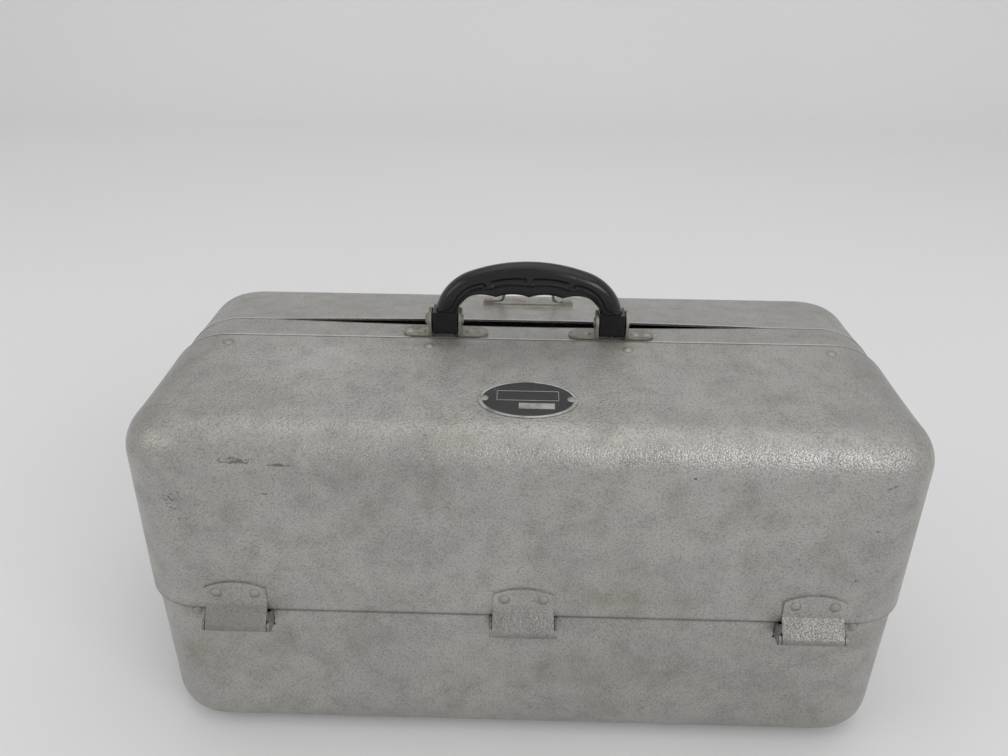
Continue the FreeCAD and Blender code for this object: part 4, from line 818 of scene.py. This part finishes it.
@dataclass
class Grip:
    """The D-shaped handle with finger grooves, its brackets and pins."""

    half: float = 58.4 * MM
    rise: float = field(init=False)
    top_play: float = 0.02 * MM
    crown: float = 103.2 * MM
    turn: float = 33.8 * MM
    leg: float = 14.6 * MM
    inner_rise: float = 16.0 * MM
    inner_crown: float = 1500.0 * MM
    inner_turn: float = 11.0 * MM
    nub_spacing: float = 20.0 * MM
    nub_height: float = 2.0 * MM
    block_step: float = 1.0 * MM
    block_rise: float = 7.0 * MM
    block_depth: float = 13.4 * MM
    block_round: float = 9.2 * MM
    edge_round: float = 0.5 * MM
    web_share: float = 0.72
    web_step: float = 0.07
    groove_power: float = 0.75
    groove_fade: Tuple[float, float] = (2.05, 1.95)
    ridged_nubs: float = 1.5
    ridge_fade: Tuple[float, float] = (1.6, 0.6)
    lip_at_foot: float = 0.88
    lip_fall: float = 0.3
    band_at_foot: float = 0.62
    band_fall: float = 0.26
    band_start: float = 7 * MM
    band_turn: float = 6 * MM
    climb_low: float = 4 * MM
    climb_high: float = 2 * MM
    crown_share: float = 0.34
    nose_start: float = 0.86
    nose_power: float = 2.4
    hollow: float = 1.1 * MM
    hollow_edge: float = 0.06
    lip_edge: Tuple[float, float] = (0.01, 0.05)
    ridge: float = 1.5 * MM
    along: int = 400
    across: int = 120
    round_steps: int = 25
    edge_steps: int = 5

    def build(self, finishes: Finishes) -> None:
        """Make the grip and dress what carries it."""
        brackets = [f"handle_bracket_{end}_{kind}" for end in ("left", "right")
                    for kind in ("inner", "outer")]
        dress(brackets, finishes.bracket)
        dress(["handle_pin_left", "handle_pin_right"], finishes.rivet)
        low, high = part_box("handle_grip")
        middle, pivot = (low.y + high.y) / 2, low.z + self.block_round
        self.rise = high.z - pivot - self.top_play
        pieces = [make_surface("grip_arch", self.points(middle, (high.y - low.y) / 2, pivot),
                               wrap_columns=True, sharp_angle=0.9)]
        for end in (-1, 1):
            pieces.append(make_surface(f"grip_block_{end + 1}", self.block_points(end, middle, pivot),
                                       wrap_columns=True, sharp_angle=0.6))
        for piece in pieces:
            piece.data.materials.append(finishes.grip)
        report(join_pieces("grip_body", pieces), "handle", ["handle_grip"])

    def arch(self, share: np.ndarray, half: float, top: float, crown: float, turn: float,
             foot: float) -> np.ndarray:
        """Work out points along an arch.

        The arch is a straight leg, an arc of the turn's radius, an arc of the crown's radius and the
        same again mirrored. Points are placed by the length walked along it from the nearer foot.

        Args:
            share: Share of the whole length, 0 at the right foot and 1 at the left foot.
            half: Half of the arch's width.
            top: Its height.
            crown: Radius of the crown.
            turn: Radius of the turns.
            foot: Height of the feet.

        Returns:
            Points as (x, z).
        """
        low, side = top - crown, half - turn
        rise = low + math.sqrt((crown - turn) ** 2 - side ** 2)
        lean = math.atan2(rise - low, side)
        lengths = np.cumsum([0, rise - foot, turn * lean, crown * (math.pi / 2 - lean)])
        walked = (1 - np.abs(1 - 2 * share)) * lengths[3]
        angle = np.clip((walked - lengths[1]) / turn, 0, lean)
        crown_angle = np.clip(lean + (walked - lengths[2]) / crown, lean, math.pi / 2)
        on_leg = walked < lengths[1]
        on_turn = walked < lengths[2]
        x = np.where(on_turn, side + turn * np.cos(angle), crown * np.cos(crown_angle))
        z = np.where(on_turn, rise + turn * np.sin(angle), low + crown * np.sin(crown_angle))
        x, z = np.where(on_leg, half, x), np.where(on_leg, foot + walked, z)
        return np.stack([np.where(share <= 0.5, x, -x), z], axis=-1)

    def points(self, middle: float, half_depth: float, pivot: float) -> np.ndarray:
        """Work out the arch's surface.

        A point is on the line from the outer to the inner outline, and stands off the grip's middle
        plane by a half width. That is a quarter round at the crown, a full band, a shallow hollow below
        the band, a lip, a step in to the web and a rounded nose. The hollow is broken by a ridge over
        each nub. Down a leg the band narrows along a quarter ellipse and ends above the block. The
        inner outline is lifted between the nubs by the root of a sine.

        Args:
            middle: The grip's middle plane.
            half_depth: Half of its depth.
            pivot: Height of the pins.

        Returns:
            The grid of points.
        """
        foot = pivot + self.block_rise - self.edge_round
        share = np.linspace(0, 1, self.along)
        outer = self.arch(share, self.half, pivot + self.rise, self.crown, self.turn, foot)
        inner = self.arch(share, self.half - self.leg, pivot + self.inner_rise, self.inner_crown,
                          self.inner_turn, foot)
        wave = np.abs(np.sin(math.pi * inner[:, 0] / self.nub_spacing)) ** self.groove_power
        fade_out, fade_in = self.groove_fade
        on_top = smooth(np.abs(inner[:, 0]), fade_out * self.nub_spacing, fade_in * self.nub_spacing)
        inner[:, 1] += on_top * wave * self.nub_height
        climb = smooth(outer[:, 1], foot + self.climb_low, pivot + self.rise - self.climb_high)
        depth = np.linspace(0, 1, self.across // 2)
        depth = 0.5 - 0.5 * np.cos(math.pi * depth)
        across, bow = np.meshgrid(depth, climb)
        lip = self.lip_at_foot - self.lip_fall * bow
        band_end = np.clip((foot + self.band_start - outer[:, 1]) / self.band_turn, 0, 1)[:, None]
        band = (self.band_at_foot - self.band_fall * bow) * np.sqrt(1 - band_end ** 2)
        to_nub = np.abs((inner[:, 0] + self.nub_spacing / 2) % self.nub_spacing - self.nub_spacing / 2)
        ridged = smooth(to_nub, self.ridge * self.ridge_fade[0], self.ridge * self.ridge_fade[1]) * on_top
        near_top = np.abs(inner[:, 0]) < self.ridged_nubs * self.nub_spacing
        ridged = np.where(near_top, ridged, 0)[:, None]
        crown_round = np.sqrt(np.clip(1 - (1 - np.clip(across / self.crown_share, 0, 1)) ** 2, 0, 1))
        past_nose = np.clip((across - self.nose_start) / (1 - self.nose_start), 0, 1)
        nose_round = np.sqrt(np.clip(1 - past_nose ** self.nose_power, 0, 1))
        web = 1 - (1 - self.web_share) * smooth(across, lip, lip + self.web_step)
        below_band = smooth(across, band, band + self.hollow_edge)
        above_lip = smooth(across, lip - self.lip_edge[0], lip - self.lip_edge[1])
        sunk = below_band * above_lip * (1 - ridged)
        half_width = half_depth * crown_round * nose_round * web - self.hollow * sunk * crown_round
        half_width = np.clip(half_width, 0, half_depth)
        spine = outer[:, None, :] + (inner - outer)[:, None, :] * across[:, :, None]
        front = np.stack([spine[..., 0], middle - half_width, spine[..., 1]], axis=-1)
        rear = np.stack([spine[..., 0], middle + half_width, spine[..., 1]], axis=-1)
        ring_points = np.concatenate([front, rear[:, -2:0:-1]], axis=1)
        caps = ring_points[[0, -1]].mean(axis=1, keepdims=True).repeat(ring_points.shape[1], axis=1)
        return np.concatenate([caps[:1], ring_points, caps[1:]], axis=0)

    def block_points(self, end: int, middle: float, pivot: float) -> np.ndarray:
        """Work out the square block at the foot of a leg.

        The block's outline, seen along X, is level at the top, upright at the sides and round about the
        pin below. It is carried along X, and drawn in by a quarter round at both faces.

        Args:
            end: -1 for the left block, 1 for the right one.
            middle: The grip's middle plane.
            pivot: Height of the pins.

        Returns:
            The grid of points.
        """
        wide = self.block_depth / 2
        lean = math.asin(wide / self.block_round)
        angle = np.linspace(lean, -lean, self.round_steps)
        y = np.concatenate([[-wide], [wide], self.block_round * np.sin(angle)])
        z = np.concatenate([[self.block_rise, self.block_rise], -self.block_round * np.cos(angle)])
        turn = np.linspace(0, math.pi / 2, self.edge_steps)
        inset = self.edge_round * (1 - np.sin(turn))
        start = self.half - self.leg
        near = start + self.edge_round * (1 - np.cos(turn))
        far = self.half + self.block_step - self.edge_round * (1 - np.cos(turn[::-1]))
        x = np.concatenate([[start], near, far, [self.half + self.block_step]])
        shrink = 1 - np.concatenate([inset, inset[::-1]]) / wide
        shrink = np.concatenate([[0], shrink, [0]])
        return np.stack(np.broadcast_arrays(end * x[:, None], middle + y * shrink[:, None],
                                            pivot + z * shrink[:, None]), axis=-1)


def smooth(value: np.ndarray, low: Level, high: Level) -> np.ndarray:
    """Return the smooth step 3t^2 - 2t^3 of how far a value has gone from low to high."""
    share = np.clip((value - low) / (high - low), 0, 1)
    return share * share * (3 - 2 * share)


# The plate's section from the middle of its back round the rim to the middle of its face, each point as
# shares of the half width and of the thickness.
PLATE_SECTION = ((0, 0), (0.94, 0), (0.985, 0), (1, 0.25), (0.997, 0.6), (0.98, 0.9), (0.955, 1),
                 (0.93, 0.97), (0.915, 0.85), (0.905, 0.7), (0.45, 0.72), (0, 0.74))


@dataclass
class Nameplate:
    """The oval plate on the front roof: black enamel in a silver rim, with a blank label."""

    long: float = 56.4 * MM
    short: float = 33.9 * MM
    thick: float = 0.8 * MM
    field_share: float = 0.91
    field_level: float = 0.7
    frame_low: Corner = (-17.5 * MM, -1.5 * MM)
    frame_high: Corner = (17.5 * MM, 7.5 * MM)
    label_low: Corner = (-5.0 * MM, -9.0 * MM)
    label_high: Corner = (15.0 * MM, -4.0 * MM)
    line_width: float = 0.35 * MM
    line_height: float = 0.14 * MM
    label_height: float = 0.2 * MM
    bar_edge: float = 0.08 * MM
    around: int = 128

    def build(self, finishes: Finishes) -> None:
        """Make the plate and its raised lines, and join them."""
        plate = make_surface("plate_body", self.seat(self.body_points()), wrap_columns=True,
                             sharp_angle=0.5)
        plate.data.materials.append(finishes.silver)
        plate.data.materials.append(finishes.enamel)
        self.paint_field(plate)
        pieces = [plate]
        for number, (low, high, height) in enumerate(self.lines()):
            strip = make_surface(f"plate_line_{number}", self.seat(self.bar_points(low, high, height)),
                                 wrap_columns=True, sharp_angle=0.5)
            strip.data.materials.append(finishes.silver)
            pieces.append(strip)
        joined = join_pieces("nameplate_oval", pieces)
        report(joined, "front_lid", ["nameplate"])

    def seat(self, points: np.ndarray) -> np.ndarray:
        """Lay plate points, with x along, y up the roof and z out of it, on the roof's slope."""
        low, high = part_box("nameplate")
        slope = math.asin(min(1.0, (high.z - low.z - self.thick) / self.short))
        middle_y = (low.y + high.y) / 2 + self.thick * math.sin(slope) / 2
        base_z = (low.z + high.z) / 2 - self.thick * math.cos(slope) / 2
        LOG.info("plate slope %.2f degrees", math.degrees(slope))
        x, y, z = points[..., 0], points[..., 1], points[..., 2]
        return np.stack([x, middle_y + y * math.cos(slope) - z * math.sin(slope),
                         base_z + y * math.sin(slope) + z * math.cos(slope)], axis=-1)

    def body_points(self) -> np.ndarray:
        """Work out the plate: rings of one ellipse, with a raised round rim and a sunk field."""
        share, level = np.array(PLATE_SECTION).T
        level = level * self.thick
        turn = np.linspace(0, FULL_TURN, self.around, endpoint=False)
        x = self.long / 2 * share[:, None] * np.cos(turn)
        y = self.short / 2 * share[:, None] * np.sin(turn)
        return np.stack([x, y, np.broadcast_to(level[:, None], x.shape)], axis=-1)

    def paint_field(self, plate: bpy.types.Object) -> None:
        """Give the enamel to the faces inside the rim that look up."""
        low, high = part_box("nameplate")
        middle = (low + high) / 2
        for face in plate.data.polygons:
            x = (face.center.x - middle.x) / (self.long / 2)
            y = (face.center.y - middle.y) / (self.short / 2)
            if face.normal.z > 0.5 and math.hypot(x, y) < self.field_share:
                face.material_index = 1

    def lines(self) -> List[Tuple[Corner, Corner, float]]:
        """Return the raised lines, a thin frame and a blank label: low and high corner, and height."""
        line, (left, low), (right, high) = self.line_width, self.frame_low, self.frame_high
        frame_lines = [((left, low), (right, low + line)), ((left, high - line), (right, high)),
                       ((left, low), (left + line, high)), ((right - line, low), (right, high))]
        label = (self.label_low, self.label_high, self.label_height)
        return [(a, b, self.line_height) for a, b in frame_lines] + [label]

    def bar_points(self, low: Corner, high: Corner, height: float) -> np.ndarray:
        """Work out a flat bar on the field: a rectangle raised by its height with softened edges."""
        base = self.thick * self.field_level
        inset = min(self.bar_edge, height / 2)
        corners = []
        for shrink, level in ((0, base), (0, base + height - inset), (inset, base + height)):
            corners.append([(low[0] + shrink, low[1] + shrink, level),
                            (high[0] - shrink, low[1] + shrink, level),
                            (high[0] - shrink, high[1] - shrink, level),
                            (low[0] + shrink, high[1] - shrink, level)])
        grid = np.array(corners)
        middle = np.repeat(grid[-1:].mean(axis=1, keepdims=True), 4, axis=1)
        floor = np.repeat(grid[:1].mean(axis=1, keepdims=True), 4, axis=1)
        return np.concatenate([floor, grid, middle], axis=0)


@dataclass
class Latch:
    """The plate with two tubes on the rear roof and the wire bail."""

    def build(self, finishes: Finishes) -> None:
        """Dress the plate and the bail."""
        dress(["latch_plate"], finishes.latch)
        dress(["latch_bail"], finishes.wire)


@dataclass
class Trays:
    """The six trays on their arms, with their dividers, pivots and links."""

    count: int = 3
    kinds: Tuple[str, ...] = ("main_arms", "inner_arms", "outer_arms", "lid_links")

    def build(self, finishes: Finishes) -> None:
        """Dress the inside of the box."""
        for side in Side:
            for number in range(1, self.count + 1):
                tray = f"{side.value}_tray_{number}"
                dress([tray, tray + "_dividers"], finishes.tray)
                dress([tray + "_pivots"], finishes.rivet)
            dress([f"{kind}_{side.value}" for kind in self.kinds], finishes.arm)
            dress([f"drive_studs_{side.value}"], finishes.rivet)
        dress(["arm_brackets"], finishes.arm)
        dress(["arm_studs"], finishes.rivet)


@dataclass(frozen=True)
class Lamp:
    """One soft rectangular lamp: where it hangs, what it faces, its width and height, and its power."""

    name: str
    place: Point
    target: Point
    size: Tuple[float, float]
    watts: float

    def hang(self) -> None:
        """Put the lamp in the scene."""
        data = bpy.data.lights.new(self.name, "AREA")
        data.shape = "RECTANGLE"
        data.size, data.size_y = self.size
        data.energy = self.watts
        lamp = bpy.data.objects.new(self.name, data)
        lamp.location = self.place
        aim = Vector(self.target) - Vector(self.place)
        lamp.rotation_euler = aim.to_track_quat("-Z", "Y").to_euler()
        bpy.context.scene.collection.objects.link(lamp)


LAMPS = (
    Lamp("lamp_above", (0.2, 0.3, 2.4), (0.0, 0.0, 0.1), (2.6, 2.0), 11.0),
    Lamp("lamp_left", (-2.2, -0.9, 1.5), (0.0, 0.0, 0.1), (1.5, 1.5), 8.0),
    Lamp("lamp_front", (1.9, -2.2, 1.9), (0.0, 0.0, 0.12), (1.8, 1.4), 28.0),
)


@dataclass
class Studio:
    """A pale floor that turns up into a wall, and soft lamps."""

    half_width: float = 6.0
    front: float = -4.0
    back: float = 2.6
    bend: float = 0.8
    wall: float = 3.5
    world_level: float = 0.62
    bend_steps: int = 24
    ground: PaleGround = PaleGround("pale_ground")

    def build(self) -> None:
        """Make the ground, the world's light and the lamps."""
        sheet = make_surface("studio_ground", self.ground_points(), sharp_angle=math.pi)
        sheet.data.materials.append(self.ground.material())
        self.light_world()
        for lamp in LAMPS:
            lamp.hang()

    def ground_points(self) -> np.ndarray:
        """Work out the ground: a level line, a quarter circle and an upright line, drawn along X."""
        turn = np.linspace(0, math.pi / 2, self.bend_steps)
        y = np.concatenate([[self.front], self.back - self.bend + self.bend * np.sin(turn), [self.back]])
        z = np.concatenate([[0.0], self.bend * (1 - np.cos(turn)), [self.wall]])
        x = np.array([-self.half_width, self.half_width])
        return np.stack(np.broadcast_arrays(x[:, None], y[None], z[None]), axis=-1)

    def light_world(self) -> None:
        """Light the scene evenly from all round."""
        world = bpy.data.worlds.new("studio_world")
        bpy.context.scene.world = world
        world.use_nodes = True
        background = world.node_tree.nodes["Background"]
        background.inputs["Color"].default_value = linear(255, 254, 252)
        background.inputs["Strength"].default_value = self.world_level


@dataclass
class PhotoCamera:
    """The camera at the photograph's place, fitted to the box's corners."""

    place: Point = (-4.792 * MM, -505.02 * MM, 462.49 * MM)
    yaw: float = -0.0200
    pitch: float = 0.4746
    roll: float = 0.0112
    lens: float = 31.568
    sensor: float = 36.0
    clip: Tuple[float, float] = (0.01, 100.0)

    def build(self) -> None:
        """Make the camera: it looks along yaw and pitch, then turns by roll about that line."""
        ahead = Vector((math.sin(self.yaw) * math.cos(self.pitch),
                        math.cos(self.yaw) * math.cos(self.pitch), -math.sin(self.pitch)))
        level = Vector((math.cos(self.yaw), -math.sin(self.yaw), 0))
        upright = level.cross(ahead)
        across = level * math.cos(self.roll) + upright * math.sin(self.roll)
        up = upright * math.cos(self.roll) - level * math.sin(self.roll)
        data = bpy.data.cameras.new("photo_camera")
        data.lens = self.lens
        data.sensor_width = self.sensor
        data.clip_start, data.clip_end = self.clip
        camera = bpy.data.objects.new("photo_camera", data)
        turn = Matrix((across, up, -ahead)).transposed().to_4x4()
        camera.matrix_world = Matrix.Translation(self.place) @ turn
        bpy.context.scene.collection.objects.link(camera)
        bpy.context.scene.camera = camera


def main() -> None:
    """Build the camera, the studio and every sub-assembly in order."""
    logging.basicConfig(level=logging.INFO, format="%(message)s")
    bpy.context.scene.view_settings.view_transform = "Standard"
    PhotoCamera().build()
    Studio().build()
    finishes = Finishes()
    for assembly in (Shells(), Hinges(), Fixings(), Grip(), Nameplate(), Latch(), Trays()):
        assembly.build(finishes)


if __name__ == "__main__":
    main()
